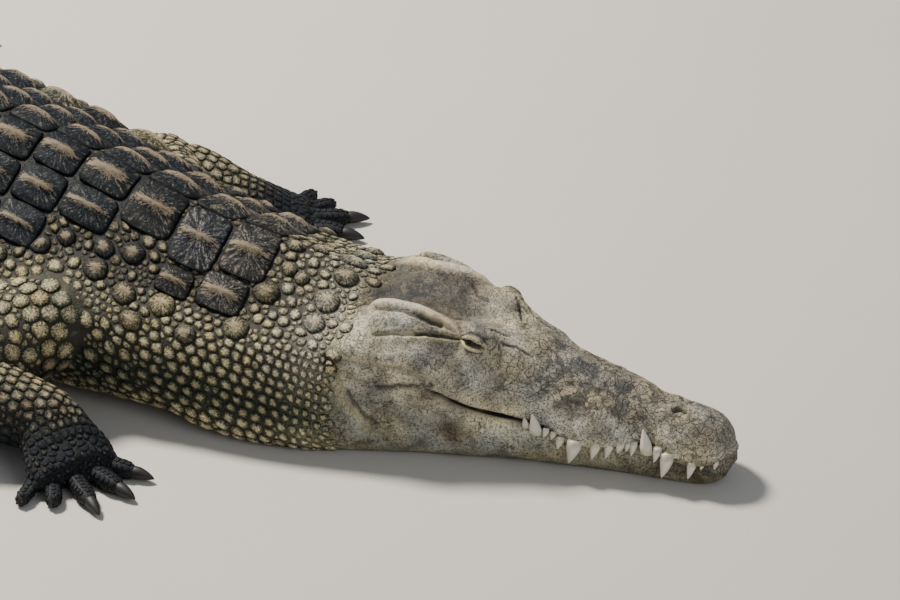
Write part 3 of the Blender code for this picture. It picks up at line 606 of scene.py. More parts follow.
# ---- materials ---------------------------------------------------------------
def node(tree, kind, inputs=(), **settings):
    """Add one node; each of its inputs is a plain value or another node's socket."""
    made = tree.nodes.new(kind)
    for name, value in settings.items():
        setattr(made, name, value)
    for name, value in dict(inputs).items():
        if isinstance(value, bpy.types.NodeSocket):
            tree.links.new(value, made.inputs[name])
        else:
            made.inputs[name].default_value = value
    return made


def attribute(tree, name, output="Fac"):
    """Reading of a piece's own attribute."""
    return node(tree, "ShaderNodeAttribute", attribute_name=name).outputs[output]


def object_place(tree):
    """Place on the object, in its own metres."""
    return node(tree, "ShaderNodeTexCoord").outputs["Object"]


def grain_noise(tree, at, scale, detail, rough=0.5, output="Fac"):
    """Cloudy noise over a place."""
    return node(tree, "ShaderNodeTexNoise", {"Vector": at, "Scale": scale, "Detail": detail,
                                             "Roughness": rough}).outputs[output]


def spread(tree, value, low=0.0, high=1.0, to_low=0.0, to_high=1.0):
    """Value stretched from one span to another, and held there."""
    return node(tree, "ShaderNodeMapRange", {
        "Value": value, "From Min": low, "From Max": high, "To Min": to_low,
        "To Max": to_high}).outputs[0]


def maths(tree, operation, *values, **settings):
    """Result of one arithmetic step on plain values and sockets."""
    return node(tree, "ShaderNodeMath", enumerate(values), operation=operation,
                **settings).outputs[0]


def tinted(tree, colour, share):
    """Colour times a share."""
    return node(tree, "ShaderNodeVectorMath", {0: colour, "Scale": share},
                operation="SCALE").outputs[0]


def added(tree, first, second):
    """Sum of two colours or places."""
    return node(tree, "ShaderNodeVectorMath", {0: first, 1: second},
                operation="ADD").outputs[0]


def two_tone(tree, value, first, second, ends=(0.0, 1.0)):
    """Colour that runs from the first to the second as the value rises."""
    ramp = node(tree, "ShaderNodeValToRGB", {"Fac": value})
    for stop, colour, end in zip(ramp.color_ramp.elements, (first, second), ends):
        stop.position, stop.color = end, (*colour, 1)
    return ramp.outputs[0]


def surface(tree, shader, colour, height=None, strength=0.0, depth=0.0):
    """Put colour and relief on the shader."""
    tree.links.new(colour, shader.inputs["Base Color"])
    if height is not None:
        bump = node(tree, "ShaderNodeBump", {"Strength": strength, "Distance": depth,
                                             "Height": height})
        tree.links.new(bump.outputs[0], shader.inputs["Normal"])


def new_material(name, **values):
    """Material with its Principled shader set directly."""
    made = bpy.data.materials.new(name)
    made.use_nodes = True
    tree = made.node_tree
    shader = next(n for n in tree.nodes if n.type == "BSDF_PRINCIPLED")
    for key, value in values.items():
        shader.inputs[key.replace("_", " ")].default_value = value
    return made, tree, shader


# ---- skin ------------------------------------------------------------------------
def skin_stations():
    """Rings of the skin in head lengths: closest at the eye, wide apart on the tail."""
    spots, s = [], 0.0
    while s < LENGTH - 0.01:
        spots.append(s)
        s += (0.0024 if 0.616 < s < 0.704 else 0.0052 if s < 1.03 else 0.012 if s < 1.5
              else 0.028 if s < 3.3 else 0.038)
    return np.array(spots + [LENGTH - 0.002])


def with_mouth(s, top, base):
    """Half-outlines with the mouth's groove between the lips, closed behind them."""
    edge = np.minimum(top[:, -1, 0], base[:, 0, 0])
    lip = top[:, -1, 1]
    deep = edge - 0.006 * step(0.0, 0.1, s) - 0.002
    groove = np.stack((np.stack((deep, lip + 0.0008), -1), np.stack((deep, lip - 0.0014), -1)),
                      axis=1)
    half = np.concatenate((top, groove, base), axis=1)
    fade = 1 - step(0.735, 0.775, s)
    a, b = LIP - 2, LIP + 5
    for i in range(len(s)):
        line = np.concatenate((top[i, -3:], base[i, 1:3]))
        run = np.concatenate(([0], np.cumsum(np.linalg.norm(np.diff(line, axis=0), axis=1))))
        t = np.linspace(0, run[-1], b - a + 1)
        plain = np.stack([np.interp(t, run, line[:, k]) for k in (0, 1)], axis=1)
        half[i, a:b + 1] = half[i, a:b + 1] * fade[i] + plain * (1 - fade[i])
    return half


def skin_grid():
    """Rings of points down the body and their outward normals."""
    s = skin_stations()
    half = with_mouth(s, *half_profiles(s, TOP_CUTS, BASE_CUTS))
    centre = np.array((0.0, TABLE[0, 5] * HEAD))
    caps = [(centre + (half[0] - centre) * size)[None] for size in (0.22, 0.5, 0.76, 0.93)]
    half = np.concatenate(caps + [half])
    metres = np.concatenate(((-0.0060, -0.0055, -0.0042, -0.0022), s * HEAD))
    ring = np.concatenate((half, half[:, -2:0:-1] * (-1, 1)), axis=1)
    points = place(metres[:, None], ring[..., 0], ring[..., 1])
    around = np.roll(points, -1, axis=1) - np.roll(points, 1, axis=1)
    normals = np.cross(around, np.gradient(points, axis=0))
    normals /= np.linalg.norm(normals, axis=2)[..., None] + 1e-12
    points -= normals * coat_depth(metres)[:, None, None]
    return metres, points, normals


def grid_faces(rows, ring, first, last):
    """Triangles of a closed tube of rings with a point at each end."""
    r, k = np.meshgrid(np.arange(rows - 1), np.arange(ring), indexing="ij")
    a, b = r * ring + k, r * ring + (k + 1) % ring
    body = np.concatenate((np.stack((a, b, b + ring), -1).reshape(-1, 3),
                           np.stack((a, b + ring, a + ring), -1).reshape(-1, 3)))
    k = np.arange(ring)
    top = np.stack((np.full(ring, first), (k + 1) % ring, k), axis=-1)
    end = (rows - 1) * ring
    tip = np.stack((np.full(ring, last), end + k, end + (k + 1) % ring), axis=-1)
    return np.concatenate((body, top, tip))


def line_distance(points, line):
    """Distance of each point from a polyline."""
    best = np.full(len(points), 1e9)
    for a, b in zip(line[:-1], line[1:]):
        ab = b - a
        t = np.clip((points - a) @ ab / (ab @ ab + 1e-12), 0, 1)
        best = np.minimum(best, np.linalg.norm(points - a - t[:, None] * ab, axis=1))
    return best


def smooth_line(line, pieces=6):
    """Rounded polyline through given points."""
    line = np.array(line, float)
    t = np.arange(len(line), dtype=float)
    return hermite(t, line, slopes(t, line), np.linspace(0, len(line) - 1,
                                                         (len(line) - 1) * pieces + 1))


def eye_centre(side):
    """Centre of the eyeball."""
    s, out, up = (v * HEAD for v in EYE_AT)
    return place(s, side * out, up)


def eye_frame(side):
    """Centre of the eyeball, and its outward, lengthwise and upright directions."""
    centre = eye_centre(side)
    rear, front = (place(s * HEAD, side * o * HEAD, z * HEAD) for s, o, z in EYE_CORNERS)
    outward = (rear + front) / 2 - centre
    outward /= np.linalg.norm(outward)
    along = front - rear
    along -= outward * (along @ outward)
    along /= np.linalg.norm(along)
    upright = np.cross(outward, along) * side
    return centre, outward, along, upright * np.sign(upright[2])


def shape_eye(points, tint, side):
    """Lids over the eyeball with a narrow slit between them."""
    centre, outward, along, upright = eye_frame(side)
    v = points - centre
    r = np.linalg.norm(v, axis=1)
    near = r < 0.045
    v, r = v[near], r[near]
    facing = np.degrees(np.arccos(np.clip(v @ outward / (r + 1e-9), -1, 1)))
    a, b = v @ along, v @ upright
    lid = EYE_RADIUS + LID
    t = np.clip(a / 0.0172, -1, 1)
    upper, lower = 0.0028 * (1 - t ** 2) - 0.0012, -0.0034 * (1 - t ** 2) - 0.0010
    gap = np.maximum(b - upper, lower - b)
    gap = np.hypot(np.maximum(gap, 0), np.maximum(np.abs(a) - 0.0172, 0)) + np.minimum(gap, 0)
    bead = np.exp(-((gap - 0.0022) / 0.0016) ** 2) * 0.0011
    crease = (np.exp(-((gap - 0.0062) / 0.0012) ** 2) * 0.0021
              + np.exp(-((gap - 0.0100) / 0.0011) ** 2) * 0.0008 * (b > 0))
    shell = lid + bead - crease
    cover = step(72, 40, facing)
    target = np.maximum(r, shell) * (1 - cover) + shell * cover
    hood = np.exp(-((b - 0.0150) / 0.0060) ** 2) * step(0.030, 0.012, np.abs(a)) * 0.0030
    target = target + hood * (facing < 95)
    inside = step(0.0004, -0.0006, gap) * (facing < 85)
    target = target * (1 - inside) + (EYE_RADIUS - 0.0022) * inside
    target = np.where(facing < 110, target, r)
    points[near] = centre + v / (r[:, None] + 1e-9) * target[:, None]
    rim = step(0.0042, 0.0012, gap) * (facing < 85)
    colour = mix(tint[near, :3], PAINT["lid"] * 1.4, rim)
    # painted shade: the crease around the lids is darkened and the slit between the lids is
    # painted black
    dark = np.exp(-((gap - 0.0060) / 0.0015) ** 2) * (facing < 80) * 0.92
    colour = mix(colour, PAINT["dark"], dark)
    colour = mix(colour, PAINT["black"], inside)
    tint[near, :3] = colour
    tint[near, 3] = np.maximum(tint[near, 3], np.maximum(rim, np.maximum(dark, inside)))


def shape_head(metres, points, normals):
    """Folds, ridges, nostrils, lips and lids of the head; returns its tints."""
    count = int(np.searchsorted(metres, 0.54))
    spots = points[:count].reshape(-1, 3)
    lean = normals[:count].reshape(-1, 3)
    tint = np.zeros((len(spots), 5))            # red, green, blue, cover, calm
    tint[:, :3] = markings(spots)
    tree = point_tree(spots)
    push = np.zeros(len(spots))
    for line, wide, tall, shade in HEAD_FOLDS:
        for side in (-1, 1):
            rough = smooth_line(line)
            bent = place(rough[:, 0] * HEAD, side * rough[:, 1] * HEAD, rough[:, 2] * HEAD)
            bent = np.array([tree.find(p)[0] for p in bent])
            far = line_distance(spots, bent)
            bulge = np.exp(-(far / wide) ** 2)
            push += bulge * tall
            # dark and black tints on sunken folds are painted shade in the grooves and nostrils
            if shade:
                crest = bulge ** 2.5 if shade == "flap" else bulge
                amount = np.clip(crest * 1.3, 0, 1) * (0.80 if shade != "lid" else 0.50)
                tint[:, :3] = mix(tint[:, :3], PAINT[shade], amount)
                tint[:, 3] = np.maximum(tint[:, 3], amount)
                tint[:, 4] = np.maximum(tint[:, 4], amount * (shade != "dark"))
    for upper, rows in ((1, UPPER_TEETH), (0, LOWER_TEETH)):
        for s, _, radius in rows:
            for side in (-1, 1):
                root = tooth_root(s, radius, side, upper)
                swell = np.linalg.norm((spots - root) * (1, 1, 0.8)
                                       - np.array((0, 0, 0.010 if upper else -0.012)), axis=1)
                push += np.exp(-(swell / (radius * 1.9)) ** 2) * radius * 0.42
    lips = np.zeros(points.shape[:2])[:count]       # painted shadow along the groove of the closed mouth
    open_at = step(0.770, 0.730, metres[:count] / HEAD) * step(0.0, 0.012, metres[:count])
    for k, much in ((0, 0.35), (1, 1), (2, 1), (3, 1.0), (4, 0.75), (5, 0.2)):
        lips[:, LIP + k] = lips[:, -LIP - k] = much * open_at
    tint[:, :3] = mix(tint[:, :3], PAINT["black"], lips.ravel())
    tint[:, 4] = np.maximum(tint[:, 4], lips.ravel())
    shelf = np.zeros_like(lips)                      # the lower lip sits behind the upper
    for k in range(2, 9):
        shelf[:, LIP + k] = shelf[:, -LIP - k] = open_at * min(1, (9 - k) / 4)
    shelf *= 1 + 1.2 * step(0.20, 0.10, metres[:count, None] / HEAD)
    push -= shelf.ravel() * 0.0024
    grain = np.array([noise.noise(p) * 0.8 + noise.noise(p * 2.3) * 0.45
                      + noise.noise(p * 5.0) * 0.22
                      for p in (Vector(q) * 32.0 for q in spots)])
    fade = step(0.52, 0.48, np.repeat(metres[:count], points.shape[1]))
    push += grain * 0.0026 * fade * step(0.0, 0.02, spots[:, 2])
    spots += lean * push[:, None]
    patch = np.array([noise.noise(p) + noise.noise(p * 2.1) * 0.6 + noise.noise(p * 4.7) * 0.4
                      for p in (Vector(q) * 40.0 + Vector((3, 7, 1)) for q in spots)])
    pale = step(-0.10, -0.70, patch) * 0.16 * fade
    tint[:, :3] = mix(tint[:, :3], PAINT["flap"], pale * (1 - tint[:, 3]))
    warm = np.clip(np.array([noise.noise(Vector(q) * 24.0) for q in spots]) * 2, -1, 1)
    tint[:, :3] *= 1 + warm[:, None] * (0.08, 0.02, -0.11) - (0.0, 0.015, 0.06)
    tint[:, 3] = np.maximum(tint[:, 3], fade)
    for side in (-1, 1):
        shape_eye(spots, tint, side)
    points[:count] = spots.reshape(points[:count].shape)
    return spots, tint


def foot_axes(key):
    """Wrist, direction and size of a hand or foot, and its toes."""
    side, joints, radii, hand = LIMBS[key]
    wrist = place(joints[2][0], side * joints[2][1], joints[2][2])
    reach = place(hand[0], side * hand[1], 0.0)
    flat = np.array((reach[0] - wrist[0], reach[1] - wrist[1], 0.0))
    heading = flat / np.linalg.norm(flat)
    across = np.array((-heading[1], heading[0], 0)) * -side
    toes = []
    for angle, length, radius, clawed in FRONT_TOES if key.startswith("front") else HIND_TOES:
        turn = Matrix.Rotation(math.radians(-side * angle), 3, "Z")
        root = wrist + flat * 0.80 + across * (radii[2] * 0.95 * angle / 50.0)
        root[2] = 0.0
        toes.append((root, np.array(turn @ Vector(heading)), length, radius, clawed))
    return wrist, flat, heading, across, toes


def muscle(start, end, sizes, sides=24):
    """Tapered limb segment with a full belly and rounded ends."""
    along = end - start
    run = np.linalg.norm(along)
    along = along / run
    rows = []
    for t, swell in ((0, 0.62), (0.12, 0.90), (0.25, 1.04), (0.4, 1.06), (0.55, 1.05),
                     (0.7, 1.01), (0.85, 0.98), (1.0, 0.94)):
        size = (sizes[0] * (1 - t) + sizes[1] * t) * swell
        rows.append((start + along * run * t, along, size * 1.04, size * 0.94))
    for beyond, swell in ((0.30, 0.88), (0.55, 0.74), (0.78, 0.42)):
        rows.append((end + along * sizes[1] * beyond, along, sizes[1] * swell * 1.04,
                     sizes[1] * swell * 0.94))
    return tube_piece(rows, "muscle", sides)


def toe_piece(root, heading, length, radius, clawed):
    """One toe, swollen at its joints."""
    rows = []
    for t, size, lift in ((0.0, 1.20, 1.45), (0.25, 1.06, 1.30), (0.45, 1.12, 1.20),
                          (0.62, 0.98, 1.08), (0.80, 1.06, 1.0), (0.92, 0.92, 0.96),
                          (1.0, 0.70 if clawed else 0.44, 0.90)):
        rows.append((root + heading * ((length + 0.022) * t - 0.022)
                     + np.array((0, 0, radius * 0.92 * lift)), heading, radius * size,
                     radius * size * 0.92))
    return tube_piece(rows, "toe", 14)


def web_piece(first, second, reach):
    """Thin web between two toes."""
    (ra, ha, la, sa, _), (rb, hb, lb, _, _) = first, second
    rows = []
    for t, tall in ((0.0, 0.007), (0.5, 0.006), (0.85, 0.004), (1.0, 0.002)):
        a, b = ra + ha * la * reach * t, rb + hb * lb * reach * t
        mid = (a + b) / 2 - (ha + hb) * 0.006 * t
        rows.append((mid + np.array((0, 0, max(sa * 0.8 * (1 - 0.4 * t), tall + 0.001))),
                     (ha + hb) / 2, np.linalg.norm(a - b) * 0.54, tall))
    return tube_piece(rows, "web", 12)


LEG_VOXEL, LEG_FACES = 0.0032, 7600    # grain of the fused leg in metres, triangles kept


def limb_piece(key):
    """One whole leg, its muscles, palm, toes and webs fused and smoothed."""
    side, joints, (big, mid, thin), _ = LIMBS[key]
    a, b, c = (place(s, side * out, z) for s, out, z in joints)
    wrist, flat, heading, _, toes = foot_axes(key)
    wide = 1.34 if key.startswith("front") else 1.42
    fall = np.array((0, 0, wrist[2]))
    palm = [(wrist + heading * thin * 0.05, heading, thin * 0.62, thin * 0.60)]
    for along, drop, level, tall in ((0.20, 0.08, 1.02, 0.90), (0.45, 0.26, 1.12, 0.78),
                                     (0.78, 0.50, wide, 0.58), (1.10, 0.62, wide * 0.94, 0.42)):
        palm.append((wrist + flat * along - fall * drop, heading, thin * level, thin * tall))
    parts = [muscle(a, b, (big, mid)), muscle(b + (c - b) * 0.06, c, (mid * 0.94, thin)),
             tube_piece(palm, "palm")]
    parts += [toe_piece(*toe) for toe in toes]
    reach = 0.34 if key.startswith("front") else 0.62
    parts += [web_piece(p, q, reach) for p, q in zip(toes[:-1], toes[1:])]
    leg = join(parts, "leg_" + key)
    apply_modifier(leg, "REMESH", mode="VOXEL", voxel_size=LEG_VOXEL)
    apply_modifier(leg, "SMOOTH", factor=0.6, iterations=7)
    spots = points_of(leg)
    spots[:, 2] = np.maximum(spots[:, 2], 0.0)
    set_points(leg, spots)
    apply_modifier(leg, "TRIANGULATE")
    apply_modifier(leg, "DECIMATE", ratio=min(1.0, LEG_FACES / len(leg.data.polygons)))
    return leg


def tree_of(item):
    """Surface tree of an object as it stands."""
    depsgraph = bpy.context.evaluated_depsgraph_get()
    return BVHTree.FromObject(item, depsgraph)


def distances(tree, points):
    """Distance of each point from a surface."""
    return np.array([tree.find_nearest(p)[3] for p in points])


SURFACE = {}                # trees of the bare body and legs, for the scales to stand on


SEAM_FAR, SEAM_NEAR = 0.024, 0.004     # metres from the fold where smoothing fades and is full
SCALES_FROM, SCALES_FULL = 0.488, 0.575    # metres behind the snout: bare hide ends, coat is whole


def build_skin():
    """One closed skin over body, head and legs."""
    metres, points, normals = skin_grid()
    head, tint = shape_head(metres, points, normals)
    rows, ring = points.shape[:2]
    ends = np.array((place(-0.0062, 0.0, TABLE[0, 5] * HEAD), points[-1].mean(axis=0)))
    spots = np.concatenate((points.reshape(-1, 3), ends))
    skin = mesh_piece("skin", spots, grid_faces(rows, ring, rows * ring, rows * ring + 1))
    SURFACE["body"] = tree_of(skin)
    legs = []
    for key in LIMBS:
        leg = limb_piece(key)
        SURFACE[key] = tree_of(leg)
        SURFACE[key + "_points"] = points_of(leg)
        legs.append(leg)
    for leg in legs:
        apply_modifier(skin, "BOOLEAN", operation="UNION", solver="MANIFOLD", object=leg)
        bpy.data.objects.remove(leg)
    spots = points_of(skin)
    body_far = distances(SURFACE["body"], spots)
    leg_far = np.min([distances(SURFACE[key], spots) for key in LIMBS], axis=0)
    seam = step(SEAM_FAR, SEAM_NEAR, np.maximum(body_far, leg_far))
    group = skin.vertex_groups.new(name="seam")
    for i in np.nonzero(seam > 0.02)[0]:
        group.add([int(i)], float(seam[i]), "REPLACE")
    apply_modifier(skin, "SMOOTH", factor=0.5, iterations=14, vertex_group="seam")
    spots = points_of(skin)
    spots[:, 2] = np.maximum(spots[:, 2], 0.0)
    set_points(skin, spots)
    limb = step(0.002, 0.010, body_far)
    colour = markings(spots, limb)
    calm = np.zeros(len(spots))
    metres, out = stations_of(spots)
    tree = point_tree(head)
    for i in np.nonzero((metres < 0.56) & (limb < 0.5))[0]:
        _, k, far = tree.find(spots[i])
        if far < 0.003:
            share = tint[k, 3]
            colour[i] = colour[i] * (1 - share) + tint[k, :3] * share
            calm[i] = tint[k, 4]
    bare = 1 - step(SCALES_FROM, SCALES_FULL, metres) * (1 - limb)
    bare = np.where(limb > 0.5, 0.0, bare)
    s, crown = metres / HEAD, np.interp(metres / HEAD, TABLE[:, 0], TABLE[:, 1]) * HEAD
    crazed = step(0.60, 0.85, spots[:, 2] / crown) * step(0.66, 0.50, s)
    crazed = np.maximum(crazed, step(0.35, 0.15, s) * 0.6)
    crazed = np.maximum(crazed, step(0.88, 0.98, s) * 0.5)
    out = np.abs(out) / HEAD
    blotch = step(0.56, 0.78, spots[:, 2] / crown) * step(0.15, 0.24, s) * step(0.57, 0.46, s)
    blotch = np.maximum(blotch * 0.85, np.exp(-((s - 0.86) / 0.06) ** 2 - (out / 0.09) ** 2))
    blotch = np.maximum(blotch, 0.22 * step(0.30, 0.60, spots[:, 2] / crown))
    set_value(skin, "blotch", blotch * (1 - calm) * bare)
    set_value(skin, "crazed", crazed)
    set_value(skin, "calm", calm)
    # painted shade: under the coat the skin is darkened nearly to black, the shade in the gaps
    # between scales
    hide = mix(colour * 0.10 + PAINT["crack"] * 0.18, colour, bare)
    set_colour(skin, "tint", hide)
    set_value(skin, "bare", bare)
    skin.vertex_groups.clear()
    only(skin)
    bpy.ops.object.shade_smooth()
    return skin


def hide_material():
    """Leather of the head: dry matt hide, speckled black, cracked in small plates."""
    made, tree, shader = new_material("Crocodile leather, dry and cracked", Roughness=0.62,
                                      IOR=1.45)
    place_at, tint = object_place(tree), attribute(tree, "tint", "Color")
    bare, calm, crazed, blotch = (attribute(tree, name)
                                  for name in ("bare", "calm", "crazed", "blotch"))
    # black pigment grains 1.5 to 2 mm across
    dots = node(tree, "ShaderNodeTexVoronoi", {"Scale": 620.0, "Vector": place_at})
    dots = maths(tree, "MULTIPLY", dots.outputs["Distance"], 0.46)
    speck = grain_noise(tree, place_at, 300.0, 4.0, 0.75)
    grains = spread(tree, maths(tree, "ADD", dots, speck), 0.60, 0.75)
    # clouds of darker pigment 40 mm across
    clouds = spread(tree, grain_noise(tree, place_at, 30.0, 7.0, 0.68), 0.35, 0.65, 0.38, 1.20)
    # cracks between plates 9 mm across, wandering, and more of them where it is crazed
    bend = tinted(tree, grain_noise(tree, place_at, 70.0, 2.0, output="Color"), 0.010)
    moved = added(tree, place_at, bend)
    cells = node(tree, "ShaderNodeTexVoronoi", {"Scale": 78.0, "Vector": moved},
                 feature="DISTANCE_TO_EDGE")
    crack = spread(tree, cells.outputs["Distance"], 0.0, 0.075)
    whole = maths(tree, "SUBTRACT", grain_noise(tree, moved, 34.0, 2.0),
                  maths(tree, "MULTIPLY", crazed, 0.26))
    soft = maths(tree, "MAXIMUM", crack, spread(tree, whole, 0.34, 0.47))
    shade = maths(tree, "MULTIPLY", spread(tree, grains, to_low=0.30, to_high=1.26),
                  spread(tree, soft, to_low=0.36))
    shade = maths(tree, "MULTIPLY", shade, clouds)
    # the pattern fades on the scaled body and on calm folds
    share = maths(tree, "SUBTRACT", bare, maths(tree, "MULTIPLY", calm, 0.62), use_clamp=True)
    even = node(tree, "ShaderNodeMix", {"Factor": share, "A": 1.0, "B": shade},
                data_type="FLOAT").outputs[0]
    # blue-black blotches 15 mm across on the snout's ridge and the skull table
    ink = spread(tree, grain_noise(tree, moved, 48.0, 6.0, 0.72), 0.465, 0.535)
    ink = maths(tree, "MULTIPLY", ink, blotch)
    even = maths(tree, "MULTIPLY", even, spread(tree, ink, to_low=1.0, to_high=0.16))
    colour = added(tree, tinted(tree, tint, even),
                   tinted(tree, tuple(PAINT["slate"] * 0.8), ink))
    relief = maths(tree, "ADD", soft, maths(tree, "MULTIPLY", grains, 0.6))
    surface(tree, shader, colour, relief, 0.55, 0.0012)
    return made


# ---- scales --------------------------------------------------------------------
GRANULE, PEBBLE, PLATE, SHIELD = range(4)
# kind: corners, rings (share of the radius, share of the height; None is the buried foot),
# sharpness of the corners, neighbours that bound a cell
FORMS = {
    GRANULE: (8, ((1.0, None), (0.93, 0.35), (0.58, 0.86)), 5, 16),
    PEBBLE: (12, ((1.0, None), (0.96, 0.30), (0.80, 0.72), (0.45, 0.95)), 6, 20),
    PLATE: (16, ((1.0, None), (0.97, 0.45), (0.86, 0.85), (0.5, 1.0)), 9, 20),
    SHIELD: (36, ((1.0, None), (0.99, 0.30), (0.96, 0.60), (0.91, 0.78), (0.84, 0.88),
                  (0.74, 0.93), (0.62, 0.96), (0.48, 0.98), (0.33, 1.0), (0.16, 1.0)), 14, 56),
}


GAPS = (0.0007, 0.0010, 0.0012, 0.0012)    # bare skin between body scales of each kind
LIMB_GAP = 0.0009


class Packing:
    """Roots of scales on a flat chart or in space, kept clear of each other."""

    def __init__(self, cell=0.02):
        self.rows, self.cells, self.cell = [], {}, cell

    def clear(self, spot, radius, loose):
        key = tuple(int(math.floor(v / self.cell)) for v in spot)
        span = range(-3, 4) if len(spot) == 2 else range(-2, 3)
        for index in self.around(key, span):
            other = self.rows[index]
            if other[3] is not None and len(spot) == 2:        # a four-sided block
                if (abs(other[0][0] - spot[0]) < other[3][0] + radius * 0.55
                        and abs(other[0][1] - spot[1]) < other[3][1] + radius * 0.55):
                    return False
            elif math.dist(other[0], spot) < (other[1] + radius) * loose:
                return False
        return True

    def around(self, key, span):
        for i in span:
            for j in span:
                if len(key) == 2:
                    yield from self.cells.get((key[0] + i, key[1] + j), ())
                else:
                    for k in span:
                        yield from self.cells.get((key[0] + i, key[1] + j, key[2] + k), ())

    def add(self, spot, radius, kind, loose=0.85, extra=None):
        if loose and not self.clear(spot, radius, loose):
            return False
        key = tuple(int(math.floor(v / self.cell)) for v in spot)
        self.cells.setdefault(key, []).append(len(self.rows))
        self.rows.append((tuple(spot), radius, kind, extra))
        return True


def row_stations():
    """Stations of the cross rows of the back and tail, in head lengths."""
    spots = [row[0] for row in FIRST_ROWS]
    while spots[-1] + ROW_PITCH < DOUBLE_CREST[0] - 0.05:
        spots.append(spots[-1] + ROW_PITCH)
    spots += list(np.linspace(*DOUBLE_CREST)) + list(np.linspace(*SINGLE_CREST))
    return spots


def shield_reach(s):
    """Girth on each side of the midline that is closed by shields, head lengths."""
    return np.interp(s, (1.22, 1.24, 1.50, 1.51, 1.65, 1.66, 1.80, 1.81, 1.95, 1.96, 2.3, 3.0,
                         3.45, 4.2, 5.2),
                     (0.0, 0.14, 0.16, 0.14, 0.14, 0.21, 0.21, 0.33, 0.33, 0.46, 0.46,
                      0.46, 0.35, 0.19, 0.07))


def block_radius(half, way):
    """Distance from the middle of a rounded four-sided block to its edge."""
    power = 7.0
    return ((np.abs(way[..., 0]) / half[..., 0]) ** power
            + (np.abs(way[..., 1]) / half[..., 1]) ** power) ** (-1 / power)


def body_seeds(shield_gap):
    """Roots of all scales of neck, trunk and tail: (station, girth) in metres."""
    rng = np.random.default_rng(11)
    pack = Packing(0.012)
    shake = lambda size: float(rng.normal(0, size))
    for s, g, long, wide in NECK_BLOCKS:
        pack.add((s * HEAD, g * HEAD), long / 1000, SHIELD, 0, (long / 1000, wide / 1000))
    for s, g, r in NECK_OVALS:
        pack.add((s * HEAD, g * HEAD), r / 1000, SHIELD, 0)
    rows = row_stations()
    first = dict(FIRST_ROWS)
    for k, s in enumerate(rows):
        wide = shield_reach(s) - SCUTE_WIDE * 0.4
        lanes = np.array(first.get(s) or [i * SCUTE_WIDE for i in np.arange(-3.5, 4)
                                          if abs(i) * SCUTE_WIDE < wide])
        if s > 3.5:
            for g in lanes:
                pack.add((s * HEAD, g * HEAD), 0.024, SHIELD, 0)
            continue
        long = (rows[k + 1] - s) * HEAD / 2 - shield_gap
        edges = np.concatenate(([lanes[0] * 1.5 - lanes[1] * 0.5],
                                (lanes[1:] + lanes[:-1]) / 2,
                                [lanes[-1] * 1.5 - lanes[-2] * 0.5])) * HEAD
        edges += rng.normal(0, 0.0012, len(edges))
        for low, high in zip(edges[:-1], edges[1:]):
            pack.add((s * HEAD + shake(0.0008), (low + high) / 2), long, SHIELD, 0,
                     (long * (1 + shake(0.015)), (high - low) / 2 - 0.0007))
    for k, s in enumerate(rows):                      # flank ovals in loose rows
        if not 1.5 < s < 3.5:
            continue
        for half_row in (0, 1):
            at = s + half_row * ROW_PITCH / 2
            first_lane = shield_reach(s) + 0.035
            for i in range(6):
                g = first_lane + 0.088 * (i + 0.5 * half_row)
                if g > girth_at(at * HEAD) / HEAD * 0.66:
                    break
                for side in (-1, 1):
                    r = 0.0135 - 0.0006 * i + shake(0.0014)
                    pack.add((at * HEAD + shake(0.0045), side * g * HEAD + shake(0.0045)),
                             r, PEBBLE if r < 0.012 else SHIELD, 0.92)
    neck_pebbles(pack, shake)
    belly_plates(pack, shake)
    tail_plates(pack, shake, rows)
    fill_granules(pack, rng)
    return pack.rows


def neck_pebbles(pack, shake):
    """Rounded pebbles of the neck in slanting rows, larger towards the throat."""
    for side in (-1, 1):
        g, odd = 0.290, 0
        while g < 0.93:
            pitch = np.interp(g, (0.29, 0.42, 0.60, 0.93), (0.026, 0.033, 0.041, 0.050))
            s = 1.0 + odd * pitch / 2
            while s < 1.56:
                near = np.interp(s, (1.0, 1.12, 1.25, 1.56), (0.62, 0.82, 1.0, 1.1))
                if g < girth_at(s * HEAD) / HEAD - 0.01:
                    pack.add((s * HEAD + shake(0.0009), side * g * HEAD + shake(0.0009)),
                             pitch * near * HEAD * 0.47, PEBBLE if g < 0.62 else PLATE, 0.86)
                s += pitch * near
            g += pitch * 0.86
            odd = 1 - odd


def belly_plates(pack, shake):
    """Flat four-sided plates of belly and lower flank, in straight cross rows."""
    s = 1.58
    while s < 3.5:
        half = girth_at(s * HEAD) / HEAD
        g = half - 0.026
        while g > half * 0.60:
            for side in (-1, 1):
                pack.add((s * HEAD + shake(0.0006), side * g * HEAD + shake(0.0006)),
                         0.0125, PLATE, 0.84)
            g -= 0.052
        s += 0.060


def tail_plates(pack, shake, rows):
    """Four-sided scales of the tail, two cross rows to each crest scute."""
    tail = [s for s in rows if s > 3.38]
    for a, b in zip(tail, tail[1:] + [tail[-1] + 0.1]):
        for at in (a, (a + b) / 2):
            half = girth_at(at * HEAD) / HEAD
            start = shield_reach(at) + 0.004
            pitch = np.interp(at, (3.4, 6.8), (0.046, 0.026))
            count = max(2, int(round((half - start) / pitch)))
            for i in range(count):
                g = start + (half - start) * (i + 0.5) / count
                for side in (-1, 1):
                    pack.add((at * HEAD + shake(0.0007), side * g * HEAD + shake(0.0006)),
                             (b - a) * HEAD * 0.245, PLATE, 0.70)


def fill_granules(pack, rng):
    """Smaller and smaller granules in every space that the larger scales leave."""
    for low, high, count in ((0.0070, 0.0092, 5000), (0.0048, 0.0068, 11000),
                             (0.0032, 0.0046, 22000), (0.0024, 0.0032, 12000)):
        s = rng.uniform(0.985, 3.6, count) * HEAD
        g = rng.uniform(-1, 1, count) * girth_at(s) * 0.97
        size = rng.uniform(low, high, count)
        for i in range(count):
            pack.add((s[i], g[i]), size[i], GRANULE if size[i] < 0.007 else PEBBLE, 0.88)


